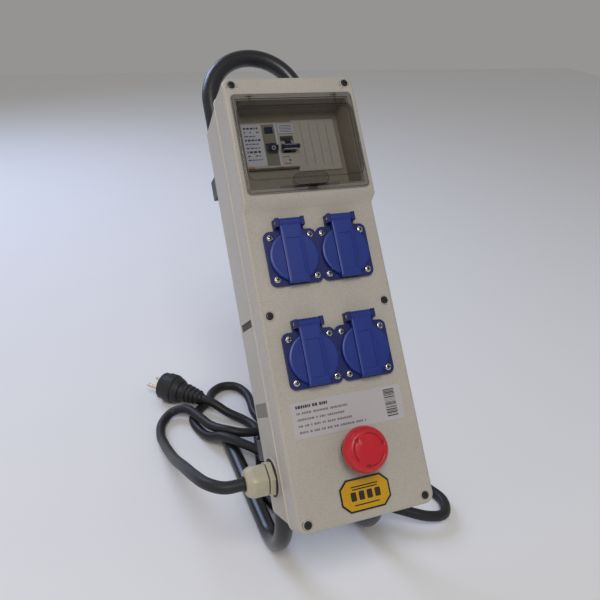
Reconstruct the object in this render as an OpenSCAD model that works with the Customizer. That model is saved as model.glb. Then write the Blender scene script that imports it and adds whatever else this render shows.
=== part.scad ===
// Portable power distribution box: a leaning enclosure on a bent tube frame.
// Most parts are drawn in the enclosure's own upright frame: X to the right, Y from
// the lower front face towards the back, Z up, with its origin midway between the
// two bottom cover screws. The enclosure and its frame then lean back as one.

/* [Enclosure] */
// Width across the cover
cover_w = 130; // [126:1:136]
// Height of the cover along its lean
cover_h = 405; // [400:1:412]
// Depth from the lower front face to the parting line
cover_d = 25; // [24:1:27]
// Depth from the lower front face to the back
box_d = 77; // [76:1:80]
// How far the window section stands proud of the lower face
raise_d = 11; // [9:1:13]
// Wall thickness of both shells
wall = 3; // [2.6:0.1:3.2]
// Angle that the enclosure leans back from upright
lean = 38; // [34:1:42]

/* [Tube frame] */
// Radius of the tube
tube_r = 9; // [8:0.5:9]
// Half the distance between the two legs, and the arch's radius
leg_x = 50; // [49:0.5:52]
// Radius of the bend from leg to foot
bend_r = 50; // [45:1:55]
// Straight length of a foot behind its bend
foot_len = 166; // [150:1:180]

/* [Socket outlets] */
// Side of a square outlet flange
flange = 50; // [49:0.5:50.5]
// Distance between the flange screws
flange_pitch = 38; // [37:0.5:39]
// Radius of an outlet lid
lid_r = 23.2; // [22:0.1:23.3]

/* [Emergency stop] */
// Radius of the mushroom head
stop_r = 20; // [18:0.5:21]

/* [Cord] */
// Radius of the rubber cable
cord_r = 5.75; // [5:0.05:5.8]

/* [Hidden] */
$fn = 48;

// Enclosure levels
cover_bottom = -7.5;
cover_mid = cover_bottom + cover_h / 2;
corner_r = 9;
inset = 1.5;
base_w = cover_w - 2 * inset;
base_h = cover_h - 2 * inset;
raise_z = 279;
slope_z = 273;
cover_top = cover_bottom + cover_h;

// Cover screws: height along the box and the level of the face that they sit in
screw_x = 56;
screw_rows = [[0, 0], [178.5, 0], [390.3, -raise_d]];

// Tube frame
leg_y = box_d + 2 + tube_r;
leg_low = 17;
arch_z = 424;
tube_wall = 1.6;
bend_y = leg_y + bend_r;

// Place of the leaning frame over the floor and about the middle of the part
box_z = tube_r + bend_r + bend_y * sin(lean) - leg_low * cos(lean);
front_y = cover_bottom * sin(lean);
rear_y = leg_y * cos(lean) + (arch_z + leg_x) * sin(lean) + tube_r;
box_y = -(front_y + rear_y) / 2;
bend_back = bend_y * cos(lean) + leg_low * sin(lean) + box_y;
saddle_z = [62, 330];
saddle_x = leg_x - 3;
saddle_y = leg_y + 12;
saddle_half = 10;
saddle_screw_x = leg_x - 14;
saddle_screw_z = 5.5;

// Window section
door_w = 119;
door_low = 285;
door_high = 380.5;
door_gap = 0.3;
door_thick = 8;
hinge_x = 42;
hinge_y = -raise_d - 3.8;
hinge_z = 385;
window_w = 112;
window_low = 290;
window_high = 377;
mask_y = 18;

// Devices on the rail
rail_z = 341;
rail_y = 58;
nose_y = 12;
nose_h = 44.8;
shoulder_y = 24;
device_h = 84;
rcd_x = [-48.6, -13.1];
mcb_x = [-12.9, 4.8];
blank_x = [5, 49.2];
lever_y = 17;
lever_r = 5.5;

// Outlets
outlet_x = 25;
outlet_z = [228, 136.3];
gasket_d = 1;
flange_d = 2.5;
flange_y = -gasket_d - flange_d;
lid_hinge_y = flange_y - 4.3;
lid_hinge_z = 31;
pot_r = 21.2;
outlets = [
    [-outlet_x, outlet_z[0]], [outlet_x, outlet_z[0]],
    [-outlet_x, outlet_z[1]], [outlet_x, outlet_z[1]]
];

// Emergency stop
stop_z = 52;

// Gland, on the left wall
gland_y = 50;
gland_z = 39;
gland_end = 93;
gland_wall = base_w / 2;
wire_r = 1.6;

// Plug, lying on the floor: its rear face and the way that it points
plug_start = [-64, 168];
plug_turn = 133;
plug_r = 19.5;
neck_len = 32;
plug_len = 32;
pin_gap = 9.5;
pin_r = 2.35;
pin_len = 19;

// Centreline of the cord from the gland to the plug, in the part's own frame
cord_route = [
    [-gland_end, -119.5, 130.5], [-110, -118, 130], [-123, -106, 128], [-129, -80, 117],
    [-131, -42, 96], [-131, 5, 66], [-130, 52, 39], [-129, 92, 19],
    [-128, 122, 8], [-122, 148, 6], [-106, 163, 10], [-88, 155, 17],
    [-77, 132, 19], [-67, 108, 20], [-52, 88, 24.5], [-28, 78, 22],
    [10, 82, 20], [48, 88, 25], [74, 92, 20], [98, 97, 11],
    [117, 112, 6], [122, 134, 6], [111, 154, 6], [91, 158, 6],
    [74, 146, 6], [68, 124, 6], [70, 98, 6], [80, 70, 6],
    [98, 44, 6], [115, 12, 6], [132, -28, 6], [148, -64, 6],
    [154, -88, 7], [142, -109, 10], [119, -110, 15], [92, -97, 21],
    [52, -68, 24.5], [20, -32, 20], [-5, 10, 19], [-25, 41, 22],
    [-45, 61, 25.2], [-60, 80, 22.5], [-72, 97, 12.5], [-78, 116, 7],
    [-82, 136, 6], [-79, 152, 6], [-66, 166, 6], [-53, 179, 6], [-43, 196, 6],
    [-26, 206, 6], [-8, 200, 6], [1, 180, 6], [1, 157, 6], [-1, 135, 6], [6, 100, 6],
    [17, 60, 6], [28, 15, 6], [34, -18, 6], [25, -46, 6],
    [0, -58, 6], [-24, -46, 6], [-34, -18, 6], [-30, 12, 6],
    [-22, 45, 6], [-13, 80, 6], [-10, 103, 6], [-19, 124, 6],
    [-36, 140, 10], [-50, 153, 17.5], [-58.5, 162.1, plug_r],
    [plug_start[0], plug_start[1], plug_r]
];

// ---- helpers ----

// Places the enclosure's upright frame over the floor, leaning back
module leaning() {
    translate([0, box_y, box_z])
        rotate([-lean, 0, 0])
            children();
}

// Rectangle with round corners, drawn about its middle
module rounded_rect(w, h, r) {
    square([w - 2 * r, h], center = true);
    square([w, h - 2 * r], center = true);
    for (sx = [-1, 1], sy = [-1, 1])
        translate([sx * (w / 2 - r), sy * (h / 2 - r)])
            circle(r = r);
}

// Plate with round corners that faces the front, from depth y0 to depth y1
module plate(w, h, r, y0, y1, x = 0, z = cover_mid) {
    translate([x, y1, z])
        rotate([90, 0, 0])
            linear_extrude(y1 - y0)
                rounded_rect(w, h, r);
}

// Block from one corner to the opposite one
module block(low, high) {
    translate(low)
        cube(high - low);
}

// Round bar along Y from depth y0 to depth y1
module bar_y(r, y0, y1, x, z) {
    translate([x, y1, z])
        rotate([90, 0, 0])
            cylinder(r = r, h = y1 - y0);
}

// Round bar along X from x0 to x1
module bar_x(r, x0, x1, y, z) {
    translate([x0, y, z])
        rotate([0, 90, 0])
            cylinder(r = r, h = x1 - x0);
}

function unit(v) = v / norm(v);
function tangent(p, i) = unit(p[min(i + 1, len(p) - 1)] - p[max(i - 1, 0)]);

// Tube swept along a list of points, with its ends facing first and last
module swept_tube(points, r, sides, first, last) {
    n = len(points);
    dirs = [for (i = [0:n - 1]) i == 0 ? first : i == n - 1 ? last : tangent(points, i)];
    rings = [
        for (i = [0:n - 1], k = [0:sides - 1])
            let (a = 360 * k / sides, s = unit(cross(dirs[i], [0, 0, 1])), u = cross(s, dirs[i]))
                points[i] + r * (cos(a) * s + sin(a) * u)
    ];
    walls = [
        for (i = [0:n - 2], k = [0:sides - 1])
            let (m = (k + 1) % sides)
                [i * sides + k, (i + 1) * sides + k, (i + 1) * sides + m, i * sides + m]
    ];
    ends = [[for (k = [0:sides - 1]) k], [for (k = [sides - 1:-1:0]) (n - 1) * sides + k]];
    polyhedron(points = rings, faces = concat(walls, ends));
}

// Pan head screw along Y whose head's underside is at depth y0
module pan_screw(head_r, head_d, shank_r, length, x, y0, z) {
    difference() {
        union() {
            bar_y(head_r, y0 - head_d, y0, x, z);
            bar_y(shank_r, y0, y0 + length, x, z);
        }
        for (a = [0, 90])
            translate([x, y0 - head_d, z])
                rotate([0, a, 0])
                    cube([head_r * 1.3, head_d, head_r * 0.3], center = true);
    }
}

// ---- tube frame ----

module frame_ring() {
    difference() {
        circle(r = tube_r);
        circle(r = tube_r - tube_wall);
    }
}

module tube_frame() {
    color("#1b1c20")
        leaning() {
            translate([0, leg_y, arch_z])
                rotate([90, 0, 0])
                    rotate_extrude(angle = 180)
                        translate([leg_x, 0])
                            frame_ring();
            for (s = [-1, 1]) {
                translate([s * leg_x, leg_y, leg_low])
                    linear_extrude(arch_z - leg_low)
                        frame_ring();
                translate([s * leg_x, bend_y, leg_low])
                    rotate([0, 90, 0])
                        rotate([0, 0, 270])
                            rotate_extrude(angle = 90 + lean)
                                translate([bend_r, 0])
                                    frame_ring();
            }
        }
}

module foot_tubes() {
    color("#1b1c20")
        for (s = [-1, 1])
            translate([s * leg_x, bend_back, tube_r])
                rotate([-90, 0, 0])
                    linear_extrude(foot_len)
                        frame_ring();
}

module foot_end_caps() {
    color("#101012")
        for (s = [-1, 1])
            translate([s * leg_x, bend_back + foot_len, tube_r])
                rotate([-90, 0, 0]) {
                    cylinder(r = tube_r, h = 3);
                    translate([0, 0, -14])
                        cylinder(r = tube_r - tube_wall - 0.05, h = 14.5);
                }
}

module frame_saddles() {
    color("#26272b")
        leaning()
            for (s = [-1, 1], z = saddle_z)
                difference() {
                    block([s * saddle_x - 15, box_d, z - saddle_half],
                          [s * saddle_x + 15, saddle_y, z + saddle_half]);
                    translate([s * leg_x, leg_y, z - saddle_half - 1])
                        cylinder(r = tube_r + 0.05, h = 2 * saddle_half + 2);
                    for (t = [-1, 1])
                        bar_y(2.1, box_d - 1, saddle_y + 1, s * saddle_screw_x, z + t * saddle_screw_z);
                }
}

module frame_saddle_screws() {
    color("silver")
        leaning()
            for (s = [-1, 1], z = saddle_z, t = [-1, 1])
                translate([s * saddle_screw_x, saddle_y, z + t * saddle_screw_z])
                    mirror([0, 1, 0])
                        pan_screw(3.8, 2.4, 2, 27, 0, 0, 0);
}

// ---- enclosure ----

module base_shell() {
    color("#b9b6ac")
        leaning()
            difference() {
                union() {
                    difference() {
                        union() {
                            plate(base_w, base_h, corner_r - inset, cover_d, box_d);
                            plate(cover_w - 0.8, cover_h - 0.8, corner_r, cover_d, cover_d + 4);
                        }
                        plate(base_w - 2 * wall, base_h - 2 * wall, corner_r - wall, cover_d - 1,
                            box_d - wall);
                    }
                    for (s = [-1, 1], row = screw_rows)
                        bar_y(5, cover_d, box_d - 1, s * screw_x, row[0]);
                }
                gasket_ring(cover_d - 1, cover_d + 1.5);
                for (s = [-1, 1], row = screw_rows)
                    bar_y(1.95, cover_d - 1, cover_d + 20, s * screw_x, row[0]);
                bar_x(12.5, -gland_wall - 1, -gland_wall + wall + 1, gland_y, gland_z);
                side_pocket(slot_insert, 1.6);
                side_pocket(blank_insert, 1);
                for (s = [-1, 1], z = saddle_z, t = [-1, 1])
                    bar_y(2.1, box_d - wall - 1, box_d + 1, s * saddle_screw_x, z + t * saddle_screw_z);
            }
}

slot_insert = [[36, 176], [74, 183]];
blank_insert = [[36, 93], [74, 106]];

module side_pocket(span, depth) {
    block([-gland_wall - 1, span[0][0], span[0][1]], [-gland_wall + depth, span[1][0], span[1][1]]);
}

module side_slot_insert() {
    color("#5c5952")
        leaning()
            block([-gland_wall + 0.8, 36, 176], [-gland_wall + 1.6, 74, 183]);
}

module side_blank_insert() {
    color("#8f8c84")
        leaning()
            block([-gland_wall + 0.2, 36, 93], [-gland_wall + 1, 74, 106]);
}

module gasket_ring(y0, y1) {
    difference() {
        plate(base_w - 1.6, base_h - 1.6, corner_r - inset - 0.8, y0, y1);
        plate(base_w - 4.6, base_h - 4.6, corner_r - inset - 2.3, y0 - 1, y1 + 1);
    }
}

module cover_gasket() {
    color("#2b2b2b")
        leaning()
            gasket_ring(cover_d, cover_d + 1.5);
}

// Front block of the window section, with its sloping lower step
module raised_block(w, h, r, front, low, step_low) {
    intersection() {
        plate(w, h, r, front, 0.5);
        translate([-w / 2, 0, 0])
            rotate([90, 0, 90])
                linear_extrude(w)
                    polygon([[0.5, step_low], [0, step_low], [front, low], [front, cover_top],
                        [0.5, cover_top]]);
    }
}

module cover_shell() {
    color("#aeaba1")
        leaning()
            difference() {
                union() {
                    difference() {
                        union() {
                            plate(cover_w, cover_h, corner_r, 0, cover_d);
                            raised_block(cover_w, cover_h, corner_r, -raise_d, raise_z, slope_z);
                        }
                        plate(cover_w - 2 * wall, cover_h - 2 * wall, corner_r - wall, wall, cover_d + 1);
                        intersection() {
                            plate(cover_w - 2 * wall, cover_h - 2 * wall, corner_r - wall,
                                wall - raise_d, wall + 1);
                            block([-cover_w, -cover_w, raise_z + wall], [cover_w, cover_w, cover_top]);
                        }
                    }
                    for (s = [-1, 1], row = screw_rows)
                        bar_y(6.6, row[1] + 1, cover_d, s * screw_x, row[0]);
                    for (s = [-1, 1], t = [-1, 1])
                        block([s * hinge_x + t * 6 - 1.7, hinge_y - 3, hinge_z - 3],
                              [s * hinge_x + t * 6 + 1.7, -raise_d + 0.5, hinge_z + 3]);
                }
                block([-window_w / 2, -raise_d - 1, window_low], [window_w / 2, wall, window_high]);
                for (o = outlets)
                    bar_y(pot_r + 0.3, -1, wall + 1, o[0], o[1]);
                for (o = outlets, sx = [-1, 1], sz = [-1, 1])
                    bar_y(1.7, -1, wall + 1, o[0] + sx * flange_pitch / 2, o[1] + sz * flange_pitch / 2);
                bar_y(11.15, -1, wall + 1, 0, stop_z);
                for (s = [-1, 1], row = screw_rows) {
                    bar_y(2.2, row[1] - 1, cover_d + 1, s * screw_x, row[0]);
                    bar_y(4.6, row[1] - 1, row[1] + 3, s * screw_x, row[0]);
                }
                for (s = [-1, 1])
                    bar_x(1.25, s * hinge_x - 8, s * hinge_x + 8, hinge_y, hinge_z);
            }
}

module cover_screw_collars() {
    color("#d8d6ce")
        leaning()
            for (s = [-1, 1], row = screw_rows)
                difference() {
                    bar_y(4.55, row[1] - 0.4, row[1] + 3, s * screw_x, row[0]);
                    bar_y(2.2, row[1] - 1, row[1] + 4, s * screw_x, row[0]);
                    bar_y(3.6, row[1] - 1, row[1] + 2.4, s * screw_x, row[0]);
                }
}

module cover_screws() {
    color("#141414")
        leaning()
            for (s = [-1, 1], row = screw_rows)
                difference() {
                    union() {
                        bar_y(3.5, row[1] + 0.4, row[1] + 2.4, s * screw_x, row[0]);
                        bar_y(1.9, row[1] + 2.4, cover_d + 18, s * screw_x, row[0]);
                    }
                    bar_y(1.8, row[1], row[1] + 1.8, s * screw_x, row[0]);
                }
}

// ---- window ----

module window_door() {
    front = -raise_d - door_gap;
    mid = (door_low + door_high) / 2;
    high = door_high - door_low;
    color("#4d5158", 0.5)
        leaning()
            difference() {
                union() {
                    difference() {
                        plate(door_w, high, 6, front - door_thick, front, 0, mid);
                        plate(door_w - 5, high - 5, 4, front - door_thick + 2.5, front + 1, 0, mid);
                    }
                    for (s = [-1, 1]) {
                        bar_x(3, s * hinge_x - 4, s * hinge_x + 4, hinge_y, hinge_z);
                        block([s * hinge_x - 4, hinge_y - 3, door_high - 2],
                            [s * hinge_x + 4, hinge_y + 3, hinge_z]);
                    }
                }
                for (s = [-1, 1])
                    bar_x(1.3, s * hinge_x - 5, s * hinge_x + 5, hinge_y, hinge_z);
            }
}

module door_latch() {
    front = -raise_d - door_gap - door_thick;
    color("#565a61")
        leaning()
            difference() {
                block([-19, front - 4, door_low + 1], [19, front, door_low + 14]);
                block([-14, front - 5, door_low + 5], [14, front - 2.5, door_low + 10]);
            }
}

module door_hinge_pins() {
    color("silver")
        leaning()
            for (s = [-1, 1])
                bar_x(1.25, s * hinge_x - 7.7, s * hinge_x + 7.7, hinge_y, hinge_z);
}

module device_mask() {
    low = window_low + 0.3;
    high = window_high - 0.3;
    half = window_w / 2 - 0.3;
    color("#9b9990")
        leaning()
            difference() {
                block([-half, -raise_d + 0.5, low], [half, mask_y + 1.5, high]);
                block([-half + 1.5, -raise_d - 1, low + 1.5], [half - 1.5, mask_y, high - 1.5]);
                block([rcd_x[0] - 0.4, mask_y - 1, rail_z - nose_h / 2 - 0.4],
                      [blank_x[1] + 0.4, mask_y + 3, rail_z + nose_h / 2 + 0.4]);
                for (s = [-1, 1])
                    bar_y(6.2, -raise_d, mask_y + 3, s * screw_x, screw_rows[2][0]);
            }
}

// ---- devices behind the window ----

module din_rail() {
    half = 59;
    color("silver")
        leaning()
            difference() {
                union() {
                    block([-half, rail_y, rail_z - 13.5], [half, rail_y + 1, rail_z + 13.5]);
                    for (s = [-1, 1]) {
                        block([-half, rail_y, rail_z + s * 13 - 0.5],
                            [half, rail_y + 7.5, rail_z + s * 13 + 0.5]);
                        block([-half, rail_y + 6.5, rail_z + s * 15 - 2.5],
                              [half, rail_y + 7.5, rail_z + s * 15 + 2.5]);
                    }
                }
                for (s = [-1, 1])
                    bar_y(2.2, rail_y - 1, rail_y + 2, s * 54.5, rail_z);
            }
}

module din_rail_posts() {
    color("#c9c7bf")
        leaning()
            for (s = [-1, 1]) {
                bar_y(4.5, rail_y + 1, box_d - wall, s * 54.5, rail_z);
                bar_y(2.15, rail_y - 0.5, rail_y + 2, s * 54.5, rail_z);
                bar_y(3.5, rail_y - 2.5, rail_y, s * 54.5, rail_z);
            }
}

// Body of a device as wide as the given span, with its nose and its rail groove
module modular_body(span) {
    difference() {
        union() {
            block([span[0], nose_y, rail_z - nose_h / 2], [span[1], shoulder_y + 1, rail_z + nose_h / 2]);
            block([span[0], shoulder_y, rail_z - device_h / 2], [span[1], rail_y + 5, rail_z + device_h / 2]);
        }
        block([span[0] - 1, rail_y, rail_z - 17.8], [span[1] + 1, rail_y + 6, rail_z + 17.8]);
    }
}

module lever_pocket(x0, x1) {
    block([x0, nose_y - 1, rail_z - 8.5], [x1, lever_y + 8, rail_z + 8.5]);
}

module toggle_lever(x0, x1, paddle_x0, paddle_x1) {
    translate([0, lever_y, rail_z])
        rotate([25, 0, 0]) {
            bar_x(lever_r, x0, x1, 0, 0);
            block([paddle_x0, -13, -2.5], [paddle_x1, -2, 2.5]);
        }
}

rcd_lever_x = [-26, -16];
button_x = -21;
button_z = 355.5;
mcb_lever_x = [-10.4, 2.3];

module rcd_body() {
    color("#dcdad2")
        leaning()
            difference() {
                modular_body(rcd_x);
                lever_pocket(rcd_lever_x[0] - 0.4, rcd_lever_x[1] + 0.4);
                block([button_x - 4.3, nose_y - 1, button_z - 3.3],
                    [button_x + 4.3, nose_y + 7, button_z + 3.3]);
            }
}

module rcd_lever() {
    color("#1c2742")
        leaning()
            toggle_lever(rcd_lever_x[0], rcd_lever_x[1], rcd_lever_x[0], rcd_lever_x[1]);
}

module rcd_test_button() {
    color("#1c2742")
        leaning()
            block([button_x - 4, nose_y - 1.8, button_z - 3], [button_x + 4, nose_y + 4, button_z + 3]);
}

module mcb_body() {
    color("#dcdad2")
        leaning()
            difference() {
                modular_body(mcb_x);
                lever_pocket(mcb_lever_x[0] - 0.4, mcb_lever_x[1] + 0.4);
            }
}

module mcb_lever() {
    color("#1c2742")
        leaning()
            toggle_lever(mcb_lever_x[0], mcb_lever_x[1], mcb_lever_x[0], mcb_lever_x[1]);
}

module mcb_label_holder() {
    color("#e6e4dc")
        leaning()
            block([mcb_x[0] + 1, nose_y - 1.5, rail_z + 10.5], [mcb_x[1] - 1, nose_y, rail_z + 20]);
}

module blanking_plate() {
    color("#b4b2aa")
        leaning()
            difference() {
                union() {
                    block([blank_x[0], mask_y - 1.5, rail_z - nose_h / 2],
                        [blank_x[1], mask_y + 1.5, rail_z + nose_h / 2]);
                    block([blank_x[0] + 2, mask_y + 1.5, rail_z - 26],
                        [blank_x[1] - 2, mask_y + 3, rail_z + 26]);
                }
                for (i = [1:4])
                    block([blank_x[0] + i * 8.84 - 0.4, mask_y - 2.5, rail_z - nose_h / 2 - 1],
                          [blank_x[0] + i * 8.84 + 0.4, mask_y - 1, rail_z + nose_h / 2 + 1]);
            }
}

module terminal_bars() {
    color("goldenrod")
        leaning()
            for (z = [200, 264])
                difference() {
                    block([-20, 56, z - 4], [48, 64, z + 4]);
                    for (i = [0:6])
                        bar_y(1.8, 55, 65, -11 + i * 8, z);
                }
}

module terminal_bar_holders() {
    color("#3a6b3f")
        leaning()
            for (z = [200, 264], x = [-19, 47])
                block([x - 4, 64, z - 6], [x + 4, box_d - wall, z + 6]);
}

module supply_wires() {
    color("#6b3a22")
        leaning()
            for (i = [0:2]) {
                x = -45 + i * 7;
                z = gland_z + 4 - i * 4;
                bar_x(wire_r, -gland_wall - 4, x, gland_y, z);
                translate([x, gland_y, z]) {
                    sphere(r = wire_r);
                    cylinder(r = wire_r, h = rail_z - device_h / 2 - z);
                }
            }
}

// ---- outlets ----

module outlet_body(o) {
    x = o[0];
    z = o[1];
    color("#1f3f92")
        leaning()
            difference() {
                union() {
                    plate(flange, flange, 6, flange_y, -gasket_d, x, z);
                    block([x - 14, flange_y, z + flange / 2 - 8], [x + 14, -gasket_d, z + lid_hinge_z + 4]);
                    bar_y(pot_r, -gasket_d, 38, x, z);
                    for (s = [-1, 1])
                        block([x + s * 12 - 1.7, lid_hinge_y - 3.5, z + lid_hinge_z - 4],
                              [x + s * 12 + 1.7, flange_y + 0.5, z + lid_hinge_z + 4]);
                }
                bar_y(19.6, flange_y - 1, 14, x, z);
                for (s = [-1, 1])
                    bar_y(2.9, 13, 32, x + s * 9.5, z);
                bar_y(2.4, 13, 22, x, z + 10);
                for (sx = [-1, 1], sz = [-1, 1])
                    bar_y(1.7, flange_y - 1, 0, x + sx * flange_pitch / 2, z + sz * flange_pitch / 2);
                bar_x(1.5, x - 14, x + 14, lid_hinge_y, z + lid_hinge_z);
            }
}

module socket_body_1() { outlet_body(outlets[0]); }
module socket_body_2() { outlet_body(outlets[1]); }
module socket_body_3() { outlet_body(outlets[2]); }
module socket_body_4() { outlet_body(outlets[3]); }

module outlet_lid(o) {
    x = o[0];
    z = o[1];
    back = flange_y - 0.3;
    color("#2449a8")
        leaning()
            difference() {
                union() {
                    bar_y(lid_r, back - 4, back, x, z);
                    block([x - 10, back - 6.5, z - 24.5], [x + 10, back, z + lid_hinge_z - 1]);
                    bar_x(4, x - 10, x + 10, lid_hinge_y, z + lid_hinge_z);
                }
                bar_y(18.8, back - 2, back + 1, x, z);
                block([x - 7.5, back - 7, z - 14], [x + 7.5, back - 5, z + 12]);
                block([x - 3.6, -20, z + lid_hinge_z - 5], [x + 3.6, 5, z + lid_hinge_z + 6]);
                bar_x(1.55, x - 11, x + 11, lid_hinge_y, z + lid_hinge_z);
            }
}

module socket_lid_1() { outlet_lid(outlets[0]); }
module socket_lid_2() { outlet_lid(outlets[1]); }
module socket_lid_3() { outlet_lid(outlets[2]); }
module socket_lid_4() { outlet_lid(outlets[3]); }

module lid_hinge_pins() {
    color("silver")
        leaning()
            for (o = outlets)
                bar_x(1.5, o[0] - 13.5, o[0] + 13.5, lid_hinge_y, o[1] + lid_hinge_z);
}

module lid_springs() {
    color("gainsboro")
        leaning()
            for (o = outlets) {
                difference() {
                    bar_x(2.6, o[0] - 3, o[0] + 3, lid_hinge_y, o[1] + lid_hinge_z);
                    bar_x(1.6, o[0] - 4, o[0] + 4, lid_hinge_y, o[1] + lid_hinge_z);
                }
                block([o[0] - 3, lid_hinge_y + 1.7, o[1] + lid_hinge_z - 0.4],
                      [o[0] - 2, flange_y, o[1] + lid_hinge_z + 0.4]);
            }
}

module socket_gaskets() {
    color("#26282c")
        leaning()
            for (o = outlets)
                difference() {
                    plate(flange - 2, flange - 2, 5, -gasket_d, 0, o[0], o[1]);
                    bar_y(pot_r + 0.3, -2, 1, o[0], o[1]);
                    for (sx = [-1, 1], sz = [-1, 1])
                        bar_y(1.9, -2, 1, o[0] + sx * flange_pitch / 2, o[1] + sz * flange_pitch / 2);
                }
}

module socket_screws() {
    color("gainsboro")
        leaning()
            for (o = outlets, sx = [-1, 1], sz = [-1, 1])
                pan_screw(3.2, 1.9, 1.6, 14, o[0] + sx * flange_pitch / 2, flange_y,
                    o[1] + sz * flange_pitch / 2);
}

module socket_sleeves() {
    color("goldenrod")
        leaning()
            for (o = outlets, s = [-1, 1])
                difference() {
                    bar_y(2.85, 15, 31, o[0] + s * 9.5, o[1]);
                    bar_y(2.45, 14, 30, o[0] + s * 9.5, o[1]);
                }
}

module socket_earth_pins() {
    color("goldenrod")
        leaning()
            for (o = outlets)
                bar_y(2.35, 1, 21, o[0], o[1] + 10);
}

// ---- emergency stop ----

module stop_head() {
    color("#c2202e")
        leaning()
            difference() {
                intersection() {
                    bar_y(stop_r, -28, -14, 0, stop_z);
                    translate([0, 14, stop_z])
                        sphere(r = 42, $fn = 96);
                }
                bar_y(6.05, -21, -13, 0, stop_z);
                difference() {
                    bar_y(stop_r - 2, -15.5, -13, 0, stop_z);
                    bar_y(9, -16, -12, 0, stop_z);
                }
            }
}

module stop_plunger() {
    color("#33343a")
        leaning() {
            bar_y(6, -20.8, -8, 0, stop_z);
            bar_y(7, -13.8, 20, 0, stop_z);
        }
}

module stop_collar() {
    color("#3b3d42")
        leaning()
            difference() {
                union() {
                    bar_y(14.5, -6, 0, 0, stop_z);
                    bar_y(11, -0.5, 14, 0, stop_z);
                }
                bar_y(7.05, -7, 15, 0, stop_z);
            }
}

module stop_nut() {
    color("#55575c")
        leaning()
            difference() {
                translate([0, wall + 5, stop_z])
                    rotate([90, 0, 0])
                        cylinder(r = 15.5, h = 5, $fn = 6);
                bar_y(11.05, wall - 1, wall + 6, 0, stop_z);
            }
}

module stop_contact_block() {
    color("#e4e2da")
        leaning()
            difference() {
                block([-14, 14, stop_z - 14], [14, 44, stop_z + 14]);
                bar_y(7.3, 13, 38, 0, stop_z);
            }
}

module stop_spring() {
    color("silver")
        leaning()
            difference() {
                bar_y(5.5, 20, 38, 0, stop_z);
                bar_y(4.3, 19, 39, 0, stop_z);
            }
}

// ---- cable gland, along X on the left wall ----

module gland_body() {
    color("#c4c0b0")
        leaning()
            difference() {
                union() {
                    translate([-gland_wall - 8.5, gland_y, gland_z])
                        rotate([0, 90, 0])
                            cylinder(r = 17, h = 7, $fn = 6);
                    bar_x(12.4, -gland_wall - 2, -gland_wall + 14, gland_y, gland_z);
                    bar_x(12, -gland_wall - 20, -gland_wall - 8, gland_y, gland_z);
                }
                bar_x(9, -gland_wall - 21, -gland_wall + 15, gland_y, gland_z);
            }
}

module gland_seal() {
    color("#1a1a1a")
        leaning()
            difference() {
                bar_x(15.8, -gland_wall - 1.5, -gland_wall, gland_y, gland_z);
                bar_x(12.45, -gland_wall - 2, -gland_wall + 1, gland_y, gland_z);
            }
}

module gland_nut() {
    x0 = -gland_end + 1;
    color("#cbc7b8")
        leaning()
            difference() {
                intersection() {
                    bar_x(15.6, x0, -gland_wall - 8.5, gland_y, gland_z);
                    translate([-gland_wall - 14, gland_y, gland_z])
                        sphere(r = 18.6, $fn = 96);
                }
                bar_x(12.05, -gland_wall - 20.5, -gland_wall - 8, gland_y, gland_z);
                bar_x(7, x0 - 1, -gland_wall - 10, gland_y, gland_z);
            }
}

module gland_grommet() {
    color("#1c1c1c")
        leaning() {
            bar_x(6.95, -gland_end, -gland_wall - 20, gland_y, gland_z);
            bar_x(8.95, -gland_wall - 20, -gland_wall - 4, gland_y, gland_z);
        }
}

module gland_locknut() {
    color("#c4c0b0")
        leaning()
            difference() {
                translate([-gland_wall + wall, gland_y, gland_z])
                    rotate([0, 90, 0])
                        cylinder(r = 17, h = 5, $fn = 6);
                bar_x(12.45, -gland_wall + wall - 1, -gland_wall + wall + 6, gland_y, gland_z);
            }
}

// ---- labels ----

module rating_label() {
    color("#e9e9ec")
        leaning()
            plate(106, 31, 3, -0.4, 0, 0, 85.5);
}

module name_plate() {
    color("#e0b312")
        leaning()
            plate(44, 25, 4, -0.6, 0, 0, 14.4);
}

module name_plate_border() {
    color("#111111")
        leaning()
            difference() {
                plate(47, 28, 5.5, -0.8, 0, 0, 14.4);
                plate(44.02, 25.02, 4, -1, 1, 0, 14.4);
            }
}

// ---- cord and plug ----

module plug_frame() {
    translate([plug_start[0], plug_start[1], plug_r])
        rotate([0, 0, plug_turn])
            rotate([0, 90, 0])
                children();
}

plug_dir = [cos(plug_turn), sin(plug_turn), 0];

module cord() {
    color("#17181b")
        swept_tube(cord_route, cord_r, 12, [-1, 0, 0], plug_dir);
}

module plug_strain_relief() {
    color("#17181b")
        plug_frame() {
            cylinder(r1 = 7, r2 = 9.5, h = neck_len - 8);
            translate([0, 0, neck_len - 8])
                cylinder(r = 12.5, h = 8);
        }
}

module plug_body() {
    color("#151618")
        plug_frame()
            translate([0, 0, neck_len])
                difference() {
                    union() {
                        cylinder(r1 = 14, r2 = 18, h = 9);
                        translate([0, 0, 9])
                            cylinder(r = plug_r, h = plug_len - 9);
                    }
                    for (s = [-1, 1])
                        translate([0, s * pin_gap, plug_len - 8])
                            cylinder(r = 2.05, h = 9);
                }
}

module plug_pins() {
    color("goldenrod")
        plug_frame()
            for (s = [-1, 1])
                translate([0, s * pin_gap, neck_len + plug_len]) {
                    translate([0, 0, -7.9])
                        cylinder(r = 2, h = 8);
                    cylinder(r = pin_r, h = pin_len);
                }
}

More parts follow.
